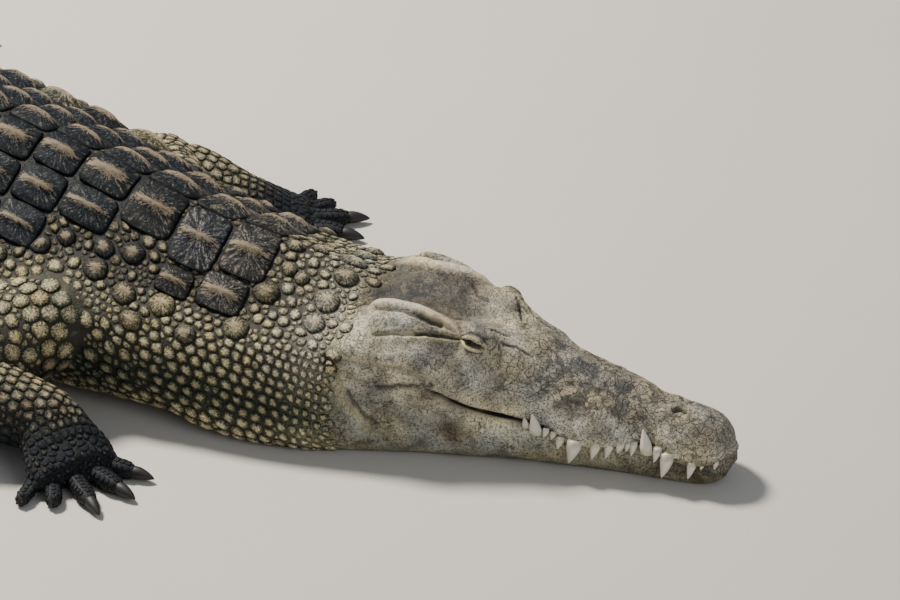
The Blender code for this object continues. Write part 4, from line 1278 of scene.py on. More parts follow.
def cell_radii(offsets, own, others, gap, corners, sharp, blocks=None):
    """Distance from each root to the edge of its cell, for every corner angle."""
    far = np.linalg.norm(offsets, axis=2) + 1e-9
    squares = others ** 2
    if blocks is not None:                  # cells end at the edge of a block
        reach = block_radius(blocks, offsets / far[..., None])
        beside = own[:, None] ** 2 - far ** 2 + 2 * far * reach
        squares = np.where(blocks[..., 0] > 0.0001, beside, squares)
    edge = (far ** 2 + own[:, None] ** 2 - squares) / (2 * far) - gap / 2
    edge = np.maximum(edge, 0.25 * own[:, None])
    angle = spokes(corners)
    ways = np.stack((np.cos(angle), np.sin(angle)))
    facing = np.einsum("njk,kc->njc", offsets / far[..., None], ways)
    pull = np.where(facing > 0.02, facing / edge[..., None], 0.0)
    radius = (pull ** sharp).sum(axis=1) ** (-1.0 / sharp)
    return np.minimum(radius, own[:, None] * np.where(own > 0.012, 1.12, 1.7)[:, None])


def scale_template(corners, rings):
    """Corner triangles of one closed scale: rings, an apex and a base."""
    faces = []
    for r in range(len(rings) - 1):
        for k in range(corners):
            a, b = r * corners + k, r * corners + (k + 1) % corners
            faces += [(a, b, b + corners), (a, b + corners, a + corners)]
    apex, last = len(rings) * corners, (len(rings) - 1) * corners
    faces += [(last + k, last + (k + 1) % corners, apex) for k in range(corners)]
    faces += [(0, k + 1, k) for k in range(1, corners - 1)]
    return np.array(faces)


def scale_height(kind, radius, x, y, share):
    """Height of a scale's surface above the skin at its own (x, y)."""
    if kind == GRANULE:
        return share * np.minimum(radius * 0.42, 0.0022)
    if kind == PEBBLE:
        return share * np.minimum(radius * 0.40, 0.0042)
    if kind == PLATE:
        return share * np.minimum(radius * 0.24, 0.0026)
    big = step(0.012, 0.028, radius)
    u, v = x / radius, y / radius
    along = np.exp(-((u - 0.10) / 0.78) ** 4)
    ridge = (np.exp(-(v / 0.14) ** 2) * 0.55 + np.exp(-(v / 0.45) ** 2) * 0.45) * along
    swell = np.exp(-(u ** 2 + v ** 2) / 0.9)
    tilt = 0.0020 * u * big                 # each row rises towards the tail
    return share * (0.0028 + 0.0030 * big + tilt) + share ** 2 * (
        ridge * (0.0008 + 0.0070 * big) + swell * (0.0034 - 0.0016 * big))


def coat_piece(name, points, template, flip, colour, worn, grain, uv):
    """Joined closed scales with their tints, wear, grain direction and bake map."""
    count = points.shape[1]
    faces = (template[None] + (np.arange(len(points)) * count)[:, None, None]).reshape(-1, 3)
    if flip:
        faces = faces[:, ::-1]
    points = points.reshape(-1, 3)
    points[:, 2] = np.maximum(points[:, 2], 0.0002)
    piece = mesh_piece(name, points, faces)
    set_colour(piece, "tint", colour.reshape(-1, 3))
    set_value(piece, "worn", worn.ravel())
    layer = piece.data.attributes.new("grain", "FLOAT_VECTOR", "POINT")
    layer.data.foreach_set("vector", grain.astype(np.float32).ravel())
    bake = piece.data.uv_layers.new(name="OFBake")
    bake.data.foreach_set("uv", uv.reshape(-1, 2)[faces.ravel()].astype(np.float32).ravel())
    return piece


def scale_colour(base, kind, own, u, v, rim, rng):
    """Tint and wear of each point: pale wear on the tops, and painted shading that lightens each
    top and darkens each sunken edge.
    """
    vary = rng.normal(1.0, 0.16, (len(own), 1, 1))
    warm = 1 + rng.normal(0, 0.06, (len(own), 1, 1)) * np.array((1.0, 0.2, -0.8))
    base = base[:, None] * np.maximum(vary, 0.5) * warm
    # painted shading: the top of each scale is paler and its edge darker
    top = step(1.0, 0.40, rim)
    if kind == SHIELD:
        big = step(0.014, 0.024, own)[:, None]
        base = mix(base, PAINT["dark"] * 2.6 * vary, (1 - big) * 0.55)
        wide, part = rng.uniform(0.10, 0.21, (len(own), 1)), rng.uniform(0.75, 1.05, (len(own), 1))
        ridge = part * np.exp(-(v / wide) ** 2) * np.exp(-((u - 0.1) / 0.80) ** 4)
        colour = mix(base * 0.62, base, top)
        horn = 0.24 + 0.05 * step(0.015, 0.03, base.mean(axis=2))
        worn = (big * (horn + 0.36 * ridge) * step(1.02, 0.90, rim)
                + (1 - big) * 0.60 * step(0.95, 0.15, rim))
    elif kind == GRANULE:
        colour, worn = mix(base * 0.42, base * 1.10, top), 0.36 * top
    else:
        if kind == PLATE:
            top = step(1.0, 0.72, rim)
        deep = step(0.012, 0.060, base.mean(axis=2))
        colour, worn = mix(base * 0.30, base * 1.20, top), step(0.95, 0.15, rim) * (
            0.30 + 0.32 * deep)
    # painted shade at the foot of every scale
    return colour * (1 - 0.55 * step(0.90, 1.0, rim))[..., None], worn * np.ones_like(rim)


def make_scales(name, own, offsets, others, kind, lay, gap, base, unwrap, flip,
                blocks=None, halves=None):
    """All scales of one kind; lay puts their own (x, y, height) on the surface."""
    corners, rings, sharp, _ = FORMS[kind]
    rng = np.random.default_rng(len(own) + kind)
    edge = cell_radii(offsets, own, others, gap, corners, sharp, blocks)
    angle = spokes(corners)
    if halves is not None:
        ways = np.stack((np.cos(angle), np.sin(angle)), axis=-1)
        four = block_radius(np.maximum(halves, 0.001)[:, None], ways[None])
        edge = np.where(halves[:, :1] > 0, four, edge)
    if kind < PLATE:
        edge = edge * rng.normal(1.0, 0.02, edge.shape)
    zero = np.zeros((len(own), 1))
    x = np.concatenate([edge * rho * np.cos(angle) for rho, _ in rings] + [zero], axis=1)
    y = np.concatenate([edge * rho * np.sin(angle) for rho, _ in rings] + [zero], axis=1)
    row = np.concatenate([np.full(corners, -1.0 if h is None else h) for _, h in rings]
                         + [[1.0]])
    share = np.broadcast_to(row, x.shape)
    rim = np.broadcast_to(np.concatenate([np.full(corners, rho) for rho, _ in rings]
                                         + [[0.0]]), x.shape)
    if halves is not None:              # the blocks of a row stand wall to wall
        beside = np.concatenate([np.tile(np.abs(np.sin(angle)) ** 6, len(rings)), [0.0]])
        share = np.where((halves[:, :1] > 0) & (share >= 0),
                         share + (np.maximum(share, 0.80) - share) * beside, share)
    tall = scale_height(kind, own[:, None], x, y, np.maximum(share, 0))
    if kind == SHIELD:
        rough = np.array([noise.noise(Vector((a * 130, b * 130, i * 3.7)))
                          for i, (p, q) in enumerate(zip(x, y)) for a, b in zip(p, q)])
        tall = tall + rough.reshape(x.shape) * 0.0011 * np.maximum(share, 0)
    tall = np.where(share < 0, -0.0016, tall)
    u, v = x / own[:, None], y / own[:, None]
    turn = np.arctan2(y, x)
    lot = rng.uniform(0, 40, (len(own), 3))
    grain = np.stack((np.cos(turn) * 2.2 + lot[:, :1], np.sin(turn) * 2.2 + lot[:, 1:2],
                      rim * (own[:, None] / 0.030) * 0.9 + lot[:, 2:]), axis=-1)
    uv = unwrap[:, None] + np.stack((u, v), axis=-1) * 0.0010
    colour, worn = scale_colour(base, kind, own, u, v, rim, rng)
    return coat_piece(name, lay(x, y, tall), scale_template(corners, rings), flip,
                      colour, worn, grain, uv)


def neighbours(tree, spots, kind):
    """Indices of the roots around each spot, without its own."""
    return np.array([[k for _, k, _ in tree.find_n(p, FORMS[kind][3] + 1)][1:] for p in spots])


def buried(spots, tree, slack=0.001):
    """Which points lie inside a closed surface, or barely out of it."""
    inside = np.zeros(len(spots), bool)
    for i, p in enumerate(spots):
        near, lean, _, far = tree.find_nearest(p)
        inside[i] = far < 0.15 and (Vector(p) - near).dot(lean) < slack
    return inside


def build_body_coat(shield_gap):
    """Scales of neck, trunk and tail."""
    rows = body_seeds(shield_gap)
    spots = np.array([row[0] for row in rows])
    own = np.array([row[1] for row in rows])
    kinds = np.array([row[2] for row in rows])
    halves = np.array([row[3] or (0.0, 0.0) for row in rows])
    world, _ = on_body(spots[:, 0], spots[:, 1])
    hidden = np.zeros(len(rows), bool)
    for key in LIMBS:
        close = np.linalg.norm(world - SURFACE[key + "_points"].mean(axis=0), axis=1) < 0.4
        index = np.nonzero(close)[0]
        hidden[index] |= buried(world[index], SURFACE[key], -0.002)
    tint = markings(world)
    small = kinds != SHIELD                        # only the shields are blue-black
    tint[small] = np.maximum(tint[small], PAINT["ochre"] * 0.32)
    length, half = LENGTH * HEAD, girth_at(spots[:, 0])
    wrap = np.abs(spots[:, 1]) > half - 0.05       # the coat closes under the belly
    ghosts = spots[wrap] - np.stack((np.zeros(wrap.sum()), np.sign(spots[wrap, 1])
                                     * 2 * half[wrap]), axis=1)
    every = np.concatenate((spots, ghosts))
    sizes, solids = (np.concatenate((v, v[wrap])) for v in (own, halves))
    tree = point_tree(np.column_stack((every, np.zeros(len(every)))))
    pieces = []
    for region, low, high in (("neck", 0, 1.52), ("trunk", 1.52, 3.45), ("tail", 3.45, 9)):
        for kind, label in enumerate(("granules", "pebbles", "plates", "shields")):
            pick = np.nonzero((kinds == kind) & ~hidden & (spots[:, 0] >= low * HEAD)
                              & (spots[:, 0] < high * HEAD))[0]
            if not len(pick):
                continue
            near = neighbours(tree, [(*spots[i], 0) for i in pick], kind)
            s, g = spots[pick, :1], spots[pick, 1:]
            unwrap = np.stack((0.02 + 0.96 * s[:, 0] / length,
                               0.35 + 0.32 * g[:, 0] / 0.66), axis=1)

            def lay(x, y, tall):
                at = s + x
                return on_body(at, g + y, tall - coat_depth(at))[0]

            pieces.append(make_scales(
                "scales_%s_%s" % (region, label), own[pick], every[near] - spots[pick][:, None],
                sizes[near], kind, lay, GAPS[kind], tint[pick], unwrap, True, solids[near],
                halves[pick]))
    return pieces


def limb_roots(key):
    """Roots of the scales of one leg: place, normal, lengthwise direction, size, kind."""
    tree, points = SURFACE[key], SURFACE[key + "_points"]
    side, joints, (big, mid, thin), _ = LIMBS[key]
    a, b, c = (place(s, side * out, z) for s, out, z in joints)
    wrist, flat, heading, across, toes = foot_axes(key)
    pack, rng = Packing(0.012), np.random.default_rng(5)

    def root(hit, lean, along, size, kind, loose):
        if hit is None or hit.z < 0.0025:
            return
        hit = hit + Vector(rng.normal(0, size * 0.07, 3))
        pack.add(tuple(hit), size, kind, loose, (np.array(lean), along))

    for centre, turned, length, radius, _ in toes:              # plates across each toe
        level = np.cross(turned, (0, 0, 1))
        for t in np.arange(0.006, length - 0.003, 0.0078):
            at = centre + turned * t + np.array((0, 0, radius * 0.9))
            for angle in (90, 42, 138, -4, 184):
                way = level * math.cos(math.radians(angle)) + np.array(
                    (0, 0, math.sin(math.radians(angle))))
                hit, lean, _, _ = tree.ray_cast(at, way, 0.05)
                root(hit, lean, turned, 0.0044, PLATE, 0.80)
    for u in np.arange(-0.30, 1.0, 0.011 / np.linalg.norm(flat)):     # back of the hand
        for v in np.arange(-0.066, 0.066, 0.011):
            at = wrist + flat * u + across * v
            hit, lean, _, _ = tree.ray_cast((at[0], at[1], 0.15), (0, 0, -1), 0.2)
            if hit and hit.z < 0.085:
                root(hit, lean, heading, 0.0058, PLATE, 0.82)
    for start, end, first, last, pitch in ((b, c, mid, thin, 0.0155), (a, b, big, mid, 0.0235)):
        along = (end - start) / np.linalg.norm(end - start)
        level = np.cross(along, (0, 0, 1))
        level /= np.linalg.norm(level)
        upright = np.cross(level, along)
        for k, t in enumerate(np.arange(0, np.linalg.norm(end - start) + last, pitch)):
            size = first + (last - first) * min(t / np.linalg.norm(end - start), 1)
            count = int(2 * math.pi * size / pitch)
            for i in range(count):
                angle = 2 * math.pi * (i + 0.5 * (k % 2)) / count
                way = level * math.cos(angle) + upright * math.sin(angle)
                hit, lean, _, _ = tree.ray_cast(start + along * t, way, 0.2)
                root(hit, lean, along, pitch * 0.52, PLATE, 0.80)
    for i in rng.permutation(len(points)):
        spot, lean, _, _ = tree.find_nearest(points[i])
        root(spot, lean, heading, rng.uniform(0.0032, 0.0046), GRANULE, 0.84)
    return pack.rows


CREASE = 0.007                     # bare fold where a leg meets the trunk


def build_limb_coat():
    """Scales of the legs, hands and feet."""
    pieces = []
    for order, key in enumerate(LIMBS):
        rows = limb_roots(key)
        spots = np.array([row[0] for row in rows])
        keep = ~buried(spots, SURFACE["body"], CREASE)
        rows = [row for row, good in zip(rows, keep) if good]
        spots, tree = spots[keep], SURFACE[key]
        own = np.array([row[1] for row in rows])
        kinds = np.array([row[2] for row in rows])
        lean = np.array([row[3][0] for row in rows])
        along = np.array([row[3][1] for row in rows])
        along -= lean * (along * lean).sum(axis=1)[:, None]
        along /= np.linalg.norm(along, axis=1)[:, None] + 1e-9
        cross = np.cross(lean, along)
        near_tree = point_tree(spots)
        tint = markings(spots, np.ones(len(spots)))
        low, high = spots.min(axis=0), spots.max(axis=0)
        for kind, label in ((GRANULE, "granules"), (PLATE, "plates")):
            pick = np.nonzero(kinds == kind)[0]
            near = neighbours(near_tree, spots[pick], kind)
            gaps = spots[near] - spots[pick][:, None]
            offsets = np.stack(((gaps * along[pick][:, None]).sum(axis=2),
                                (gaps * cross[pick][:, None]).sum(axis=2)), axis=-1)
            share = (spots[pick, :2] - low[:2]) / (high[:2] - low[:2])
            unwrap = np.stack((0.02 + order * 0.245 + share[:, 0] * 0.21,
                               0.74 + share[:, 1] * 0.24), axis=1)

            def lay(x, y, tall):
                flat = (spots[pick][:, None] + along[pick][:, None] * x[..., None]
                        + cross[pick][:, None] * y[..., None])
                down = np.array([tree.find_nearest(p)[0] for p in flat.reshape(-1, 3)])
                return down.reshape(flat.shape) + lean[pick][:, None] * tall[..., None]

            pieces.append(make_scales("scales_%s_%s" % (key, label), own[pick], offsets,
                                      own[near], kind, lay, LIMB_GAP, tint[pick],
                                      unwrap, False))
    return pieces


def build_crests():
    """Upright scutes of the tail: two rows, then one."""
    jobs = []
    for i, s in enumerate(np.linspace(*DOUBLE_CREST)):
        rise = 0.010 + 0.022 * math.sin(math.pi * 0.5 * i / (DOUBLE_CREST[2] - 1))
        out = float(np.interp(s, TABLE[:, 0], TABLE[:, 2])) * HEAD * 0.92
        jobs += [(s, out, rise, 0.18, 0.025), (s, -out, rise, -0.18, 0.025)]
    for i, s in enumerate(np.linspace(*SINGLE_CREST)):
        jobs.append((s, 0.0, 0.038 * (1 - 0.62 * i / (SINGLE_CREST[2] - 1)), 0.0, 0.0235))
    corners, levels = 14, (0.0, 0.18, 0.38, 0.58, 0.76, 0.90)
    angle = spokes(corners)
    points, roots = [], []
    for s, out, rise, slant, half in jobs:
        row = hermite(TABLE[:, 0], TABLE[:, 1:], TABLE_SLOPES, np.array([s]))[0] * HEAD
        base, tall = (row[0] if out == 0 else row[2]) - 0.012, rise + 0.012
        one = []
        for v in levels:
            chord = half * (1 - v) ** 0.8
            thick = 0.0075 * (1 - v) ** 0.9 + 0.0008
            along = half * 0.92 * v ** 1.15 + np.cos(angle) * chord
            one.append(place(s * HEAD + along, out + slant * v * tall + np.sin(angle) * thick,
                             base + tall * v * (1 - 0.06 * np.cos(angle))))
        one.append(place(s * HEAD + half * 0.95, out + slant * tall, base + tall)[None])
        points.append(np.concatenate(one))
        roots.append((0.02 + 0.96 * s / LENGTH, 0.35 + 0.32 * out / 0.66))
    points = np.array(points)
    level = np.concatenate([np.full(corners, v) for v in levels] + [[1.0]])
    tint = markings(points[:, 0])[:, None] * np.ones((1, len(level), 1))
    tint = mix(tint * 0.7, mix(tint, PAINT["keel"][None, None], 0.5), np.tile(level, (len(
        points), 1)) ** 1.5)
    lot = np.random.default_rng(3).uniform(0, 40, (len(points), 1, 3))
    wave = np.concatenate([np.stack((np.cos(angle) * 0.8, np.sin(angle) * 0.8,
                                     np.full(corners, v * 3.0)), -1) for v in levels]
                          + [[[0, 0, 3.0]]])
    grain = wave[None] + lot
    uv = np.array(roots)[:, None] + np.concatenate(
        [np.stack((np.cos(angle), np.sin(angle)), -1) * 0.0013 * (1 - v) for v in levels]
        + [[[0, 0]]])[None]
    worn = np.tile(0.25 + 0.5 * level, (len(points), 1))
    return [coat_piece("tail_crest", points, scale_template(corners, levels), True, tint,
                       worn, grain, uv)]


def scale_material():
    """Keratin of the scales: hard low sheen over streaks that radiate from the keel."""
    made, tree, shader = new_material("Keratin scales, weathered", Roughness=0.60, IOR=1.45)
    shader.inputs["Specular IOR Level"].default_value = 0.20
    place_at, tint = object_place(tree), attribute(tree, "tint", "Color")
    # streaks radiating from the middle of each shield, 2 to 4 mm apart
    streak = grain_noise(tree, attribute(tree, "grain", "Vector"), 3.6, 5.0, 0.72)
    # pigment grains 2 mm across
    speck = grain_noise(tree, place_at, 380.0, 3.0, 0.7)
    shade = maths(tree, "MULTIPLY", spread(tree, streak, 0.42, 0.58, 0.25, 1.60),
                  spread(tree, speck, 0.42, 0.57, 0.35, 1.45))
    # worn horn: all pale on the keel, thinning to streaks away from it
    horn = maths(tree, "ADD", maths(tree, "MULTIPLY", speck, 0.5), streak)
    horn = maths(tree, "ADD", attribute(tree, "worn"), horn)
    horn = spread(tree, horn, 1.06, 1.24, to_high=0.52)
    colour = added(tree, tinted(tree, tint, shade),
                   tinted(tree, tuple(PAINT["keel"] * 0.95), horn))
    surface(tree, shader, colour, maths(tree, "ADD", streak, speck), 0.6, 0.0012)
    return made


# ---- teeth, claws, eyes ------------------------------------------------------------
def tooth_root(s, radius, side, upper):
    """Where a tooth leaves the gum."""
    top, base = half_profiles(np.array([s]))
    up, low = top[0, -1], base[0, 0]
    if upper:
        out = max(up[0] - radius - 0.0012, low[0] + radius * 1.15 + 0.0010)
        return place(s * HEAD, side * out, up[1] + 0.0005)
    out = max(low[0] - radius * 0.9, up[0] + radius * 1.15 + 0.0010)
    return place(s * HEAD, side * out, up[1] - 0.005)


def model_spike(name, profile, corners):
    """Unit spike along +Z by extruding and scaling a disc ring by ring."""
    deselect()
    bpy.ops.mesh.primitive_circle_add(vertices=corners, radius=profile[0][1],
                                      fill_type="NGON", location=(0, 0, profile[0][0]))
    item = bpy.context.object
    item.name = name
    bpy.ops.object.transform_apply(location=True, rotation=True, scale=True)
    bpy.ops.object.mode_set(mode="EDIT")
    bpy.ops.mesh.select_all(action="SELECT")
    for (low, wide), (high, thin) in zip(profile[:-1], profile[1:]):
        bpy.ops.mesh.extrude_region_move(TRANSFORM_OT_translate={"value": (0, 0, high - low)})
        ratio = thin / wide
        bpy.ops.transform.resize(value=(ratio, ratio, 1), center_override=(0, 0, high))
    bpy.ops.mesh.select_all(action="SELECT")
    bpy.ops.mesh.normals_make_consistent(inside=False)
    bpy.ops.object.mode_set(mode="OBJECT")
    apply_modifier(item, "TRIANGULATE")
    return item


def copies(model, jobs, name):
    """Copies of a unit model, each bent, scaled and placed, joined as one piece."""
    made = []
    unit = points_of(model)
    for root, axes, bend in jobs:
        item = twin(model)
        spots = unit + np.outer(unit[:, 2] ** 2 * bend, (1, 0, 0))
        set_points(item, root + spots @ axes)
        set_value(item, "rise", np.clip(unit[:, 2], 0, 1))
        made.append(item)
    bpy.data.objects.remove(model)
    piece = join(made, name)
    only(piece)
    bpy.ops.object.shade_smooth()
    return piece


TOOTH_BEND, TOOTH_LEAN, GUM = 0.35, 0.10, 0.0012      # GUM: how deep a root is set, metres


def build_teeth():
    """All visible teeth, bent copies of one spike."""
    model = model_spike("tooth", ((-0.22, 0.94), (0.0, 1.0), (0.14, 0.98), (0.32, 0.86),
                                  (0.52, 0.68), (0.70, 0.48), (0.85, 0.29), (0.95, 0.14),
                                  (1.0, 0.05)), 14)
    jobs = []
    for upper, rows in ((1, UPPER_TEETH), (0, LOWER_TEETH)):
        for s, length, radius in rows:
            for side in (-1, 1):
                root = tooth_root(s, radius, side, upper)
                turn = float(np.interp(s * HEAD, SPINE[0], SPINE[1]))
                outward = np.array((-math.sin(turn), math.cos(turn), 0.0)) * side
                down = np.array((0, 0, -1.0 if upper else 1.0))
                down = down + outward * (TOOTH_LEAN if upper else -TOOTH_LEAN)
                back = np.array((-math.cos(turn), -math.sin(turn), 0.0))
                down = down + back * TOOTH_LEAN
                down /= np.linalg.norm(down)
                jobs.append((root - outward * GUM, np.stack((
                    back * radius * 1.12, np.cross(down, back) * radius * 0.92,
                    down * length)), TOOTH_BEND))
    return copies(model, jobs, "teeth")


CLAW_LENGTH, CLAW_BEND = 0.026, 0.30


def build_claws():
    """All claws, bent copies of one spike."""
    model = model_spike("claw", ((-0.35, 0.62), (0.0, 0.66), (0.2, 0.64), (0.4, 0.56),
                                 (0.6, 0.45), (0.78, 0.32), (0.92, 0.18), (1.0, 0.06)), 14)
    jobs = []
    for key in LIMBS:
        for root, turned, length, radius, clawed in foot_axes(key)[4]:
            if not clawed:
                continue
            tip = root + turned * length + np.array((0, 0, radius * 0.92 * 0.92))
            down = np.array((0, 0, -1.0))
            axis = turned * CLAW_LENGTH
            jobs.append((tip, np.stack((down * radius, np.cross(turned, down) * radius,
                                        axis)), CLAW_BEND))
    return copies(model, jobs, "claws")


def build_eyes():
    """Two eyeballs with a bulging cornea."""
    deselect()
    bpy.ops.mesh.primitive_uv_sphere_add(segments=40, ring_count=24, radius=EYE_RADIUS)
    model = bpy.context.object
    apply_modifier(model, "TRIANGULATE")
    unit, made = points_of(model), []
    for side in (-1, 1):
        centre, outward, along, _ = eye_frame(side)
        item = twin(model)
        bulge = 1 + 0.030 * step(0.72, 0.98, unit[:, 2] / EYE_RADIUS)
        spots = unit * bulge[:, None]
        frame_axes = np.stack((along, np.cross(outward, along), outward))
        set_points(item, centre + spots @ frame_axes)
        layer = item.data.attributes.new("iris", "FLOAT_VECTOR", "POINT")
        layer.data.foreach_set("vector", (unit / EYE_RADIUS).astype(np.float32).ravel())
        made.append(item)
    bpy.data.objects.remove(model)
    piece = join(made, "eyes")
    only(piece)
    bpy.ops.object.shade_smooth()
    return piece


def tooth_material():
    """Enamel: ivory, glossy, browner at the gum, with fine bumps."""
    made, tree, shader = new_material("Tooth enamel, ivory", Roughness=0.32, IOR=1.62)
    place_at = object_place(tree)
    blotch = maths(tree, "MULTIPLY", grain_noise(tree, place_at, 160.0, 3.0), 0.35)
    colour = two_tone(tree, maths(tree, "ADD", attribute(tree, "rise"), blotch),
                      PAINT["tooth"] * (0.62, 0.56, 0.46), PAINT["tooth"], (0.06, 0.30))
    surface(tree, shader, colour, grain_noise(tree, place_at, 900.0, 1.0), 0.15, 0.0003)
    return made


def claw_material():
    """Claw horn: near black, satin, with paler mottling."""
    made, tree, shader = new_material("Claw horn, black", Roughness=0.55, IOR=1.45)
    wave = grain_noise(tree, object_place(tree), 240.0, 3.0)
    colour = two_tone(tree, wave, PAINT["claw"], PAINT["claw"] + PAINT["dark"])
    surface(tree, shader, colour, wave, 0.3, 0.0004)
    return made


def eye_material():
    """Wet eyeball: bronze iris with an upright slit pupil under a glossy cornea."""
    made, tree, shader = new_material("Wet eye, bronze iris", Roughness=0.06, IOR=1.38)
    shader.inputs["Coat Weight"].default_value = 0.5
    at = attribute(tree, "iris", "Vector")
    x, y, z = node(tree, "ShaderNodeSeparateXYZ", {"Vector": at}).outputs
    slit = maths(tree, "ADD", maths(tree, "ABSOLUTE", x),
                 maths(tree, "MULTIPLY", maths(tree, "POWER", y, 2.0), 0.35))
    # the iris colour is darkened as painted shade under the lids
    iris = two_tone(tree, grain_noise(tree, at, 9.0, 4.0), PAINT["iris"] * 0.12,
                    PAINT["iris"])
    seen = maths(tree, "MULTIPLY", spread(tree, slit, 0.16, 0.20), spread(tree, z, 0.70, 0.80))
    surface(tree, shader, tinted(tree, iris, seen))
    return made


def finish(piece, material, slot, *nodes):
    """Material, body and the solids a piece stands for; the slot argument is not used."""
    piece.data.materials.clear()
    piece.data.materials.append(material)
    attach(piece, "root")
    if nodes:
        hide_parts(*nodes)


NAMES = list(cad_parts)
EYES = [n for n in NAMES if n.startswith("eye_")]
CLAWS = [n for n in NAMES if n.startswith("claw_")]
FLESH = [n for n in NAMES if n not in EYES and n not in CLAWS]


# ---- settings and operators ----------------------------------------------------------
def colour_setting(name, code, what):
    """Colour that the user can change."""
    return bpy.props.FloatVectorProperty(name=name.capitalize() + " colour", description=what,
                                         size=3, subtype="COLOR", default=tuple(linear(code)),
                                         min=0, max=1)


class CrocodileSettings(bpy.types.PropertyGroup):
    """Colours and sizes that a user would change"""
    __annotations__ = {
        **{key + "_colour": colour_setting(key, *row) for key, row in TINTS.items()},
        "floor_colour": colour_setting("floor", "cfcac0", "Pale studio floor"),
        "floor_size": bpy.props.FloatProperty(
            name="Floor size", description="Side of the square floor", default=14.0,
            unit="LENGTH", min=4.0),
        "key_power": bpy.props.FloatProperty(
            name="Key light", description="Power of the large light behind the left shoulder",
            default=520.0, unit="POWER", min=0.0),
        "shield_gap": bpy.props.FloatProperty(
            name="Gap between rows", description="Skin left free at each end of a shield",
            default=0.0012, unit="LENGTH", min=0.0, max=0.01),
    }


def chosen(context):
    """The user's settings, with their colours put on the palette."""
    settings = context.scene.crocodile
    for key in TINTS:
        PAINT[key] = np.array(getattr(settings, key + "_colour"))
    return settings


class CROC_OT_stage(bpy.types.Operator):
    """Camera, floor and soft studio light"""
    bl_idname = "croc.stage"
    bl_label = "Stage"

    def execute(self, context):
        build_stage(chosen(context))
        return {"FINISHED"}


class CROC_OT_skin(bpy.types.Operator):
    """One skin over head, body and legs"""
    bl_idname = "croc.skin"
    bl_label = "Skin"

    def execute(self, context):
        chosen(context)
        finish(build_skin(), hide_material(), "hide", *FLESH)
        return {"FINISHED"}


class CROC_OT_scales(bpy.types.Operator):
    """Scales of body and legs and the crest of the tail"""
    bl_idname = "croc.scales"
    bl_label = "Scales"

    def execute(self, context):
        gap = chosen(context).shield_gap
        material = scale_material()
        for piece in build_body_coat(gap) + build_limb_coat() + build_crests():
            finish(piece, material, "hide")
        return {"FINISHED"}


class CROC_OT_eyes(bpy.types.Operator):
    """Eyeballs under the lids"""
    bl_idname = "croc.eyes"
    bl_label = "Eyes"

    def execute(self, context):
        chosen(context)
        finish(build_eyes(), eye_material(), "eye", *EYES)
        return {"FINISHED"}


class CROC_OT_teeth(bpy.types.Operator):
    """Teeth that show outside the closed mouth"""
    bl_idname = "croc.teeth"
    bl_label = "Teeth"

    def execute(self, context):
        chosen(context)
        finish(build_teeth(), tooth_material(), "teeth")
        return {"FINISHED"}


class CROC_OT_claws(bpy.types.Operator):
    """Claws of hands and feet"""
    bl_idname = "croc.claws"
    bl_label = "Claws"

    def execute(self, context):
        chosen(context)
        finish(build_claws(), claw_material(), "claw", *CLAWS)
        return {"FINISHED"}


class CROC_PT_panel(bpy.types.Panel):
    """Pieces of the crocodile"""
    bl_idname = "CROC_PT_panel"
    bl_label = "Nile crocodile"
    bl_space_type = "VIEW_3D"
    bl_region_type = "UI"
    bl_category = "Crocodile"

    def draw(self, context):
        for name in CrocodileSettings.__annotations__:
            self.layout.prop(context.scene.crocodile, name)
        for step_name in STEPS:
            self.layout.operator("croc." + step_name)


STEPS = ("stage", "skin", "scales", "eyes", "teeth", "claws")
CLASSES = (CrocodileSettings, CROC_OT_stage, CROC_OT_skin, CROC_OT_scales, CROC_OT_eyes,
           CROC_OT_teeth, CROC_OT_claws, CROC_PT_panel)


def area_light(name, spot, target, size, power, colour):
    """Round area light turned to its target."""
    light = bpy.data.lights.new(name, "AREA")
    light.shape, light.size, light.energy, light.color = "DISK", size, power, colour
    item = bpy.data.objects.new(name, light)
    bpy.context.scene.collection.objects.link(item)
    item.location = spot
    item.rotation_euler = (Vector(target) - Vector(spot)).to_track_quat("-Z", "Y").to_euler()


VIEW_TURN, VIEW_DOWN = 31.5, 32.0      # degrees: heading of the camera's right, tilt down
VIEW_AIM = (0.3580, 0.2288)            # metres from the snout tip to the aim, left and up
VIEW_FAR, VIEW_LENS = 9.0, 283.7       # metres to the aim, focal length in mm


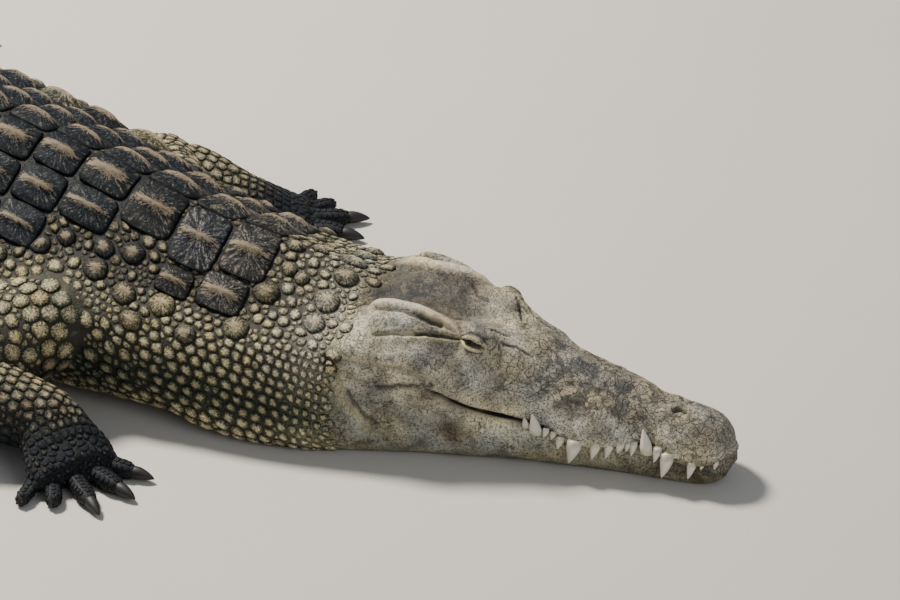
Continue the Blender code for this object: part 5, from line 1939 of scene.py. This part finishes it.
def build_stage(settings):
    """Camera at the animal's right front, pale floor, soft light from behind left."""
    turn, down = math.radians(VIEW_TURN), math.radians(VIEW_DOWN)
    right = np.array((math.cos(turn), math.sin(turn), 0))
    level = np.array((-right[1], right[0], 0))
    up = level * math.sin(down) + np.array((0, 0, math.cos(down)))
    look = level * math.cos(down) - np.array((0, 0, math.sin(down)))
    tip = place(0.0, 0.0, 0.0)
    aim = tip - right * VIEW_AIM[0] + up * VIEW_AIM[1]
    camera = bpy.data.cameras.new("camera")
    camera.sensor_width, camera.lens, camera.clip_end = 36.0, VIEW_LENS, 60.0
    item = bpy.data.objects.new("camera", camera)
    bpy.context.scene.collection.objects.link(item)
    item.location = aim - look * VIEW_FAR
    item.rotation_euler = Vector(look).to_track_quat("-Z", "Y").to_euler()
    bpy.context.scene.camera = item
    deselect()
    bpy.ops.mesh.primitive_plane_add(size=settings.floor_size, location=(-0.4, 0, 0))
    floor = bpy.context.object
    floor.name = "floor"
    bpy.ops.object.transform_apply(location=True, rotation=True, scale=True)
    made, tree, shader = new_material("Studio floor, matt paint", Roughness=0.8)
    base = np.array(settings.floor_colour)
    surface(tree, shader, two_tone(tree, grain_noise(tree, object_place(tree), 3.0, 4.0),
                                   base * 0.94, base))
    floor.data.materials.append(made)
    centre = tip - right * 0.3
    area_light("key", centre - right * 2.6 + level * 2.2 + np.array((0, 0, 4.2)), centre, 1.0,
               settings.key_power, (1.0, 0.95, 0.87))
    area_light("fill", centre + right * 2.5 - level * 3.5 + np.array((0, 0, 3.0)), centre, 3.5,
               60.0, (0.90, 0.95, 1.0))
    world = bpy.data.worlds.new("studio")
    bpy.context.scene.world = world
    world.use_nodes = True
    back = world.node_tree.nodes["Background"]
    back.inputs["Color"].default_value = (0.82, 0.88, 1.0, 1)
    back.inputs["Strength"].default_value = 0.28


def register():
    """Register the settings, operators and panel."""
    for cls in CLASSES:
        bpy.utils.register_class(cls)
    bpy.types.Scene.crocodile = bpy.props.PointerProperty(type=CrocodileSettings)


def unregister():
    """Take them away again."""
    del bpy.types.Scene.crocodile
    for cls in reversed(CLASSES):
        bpy.utils.unregister_class(cls)


def main():
    """Build everything in order."""
    register()
    for name in STEPS:
        getattr(bpy.ops.croc, name)()


if __name__ == "__main__":
    main()
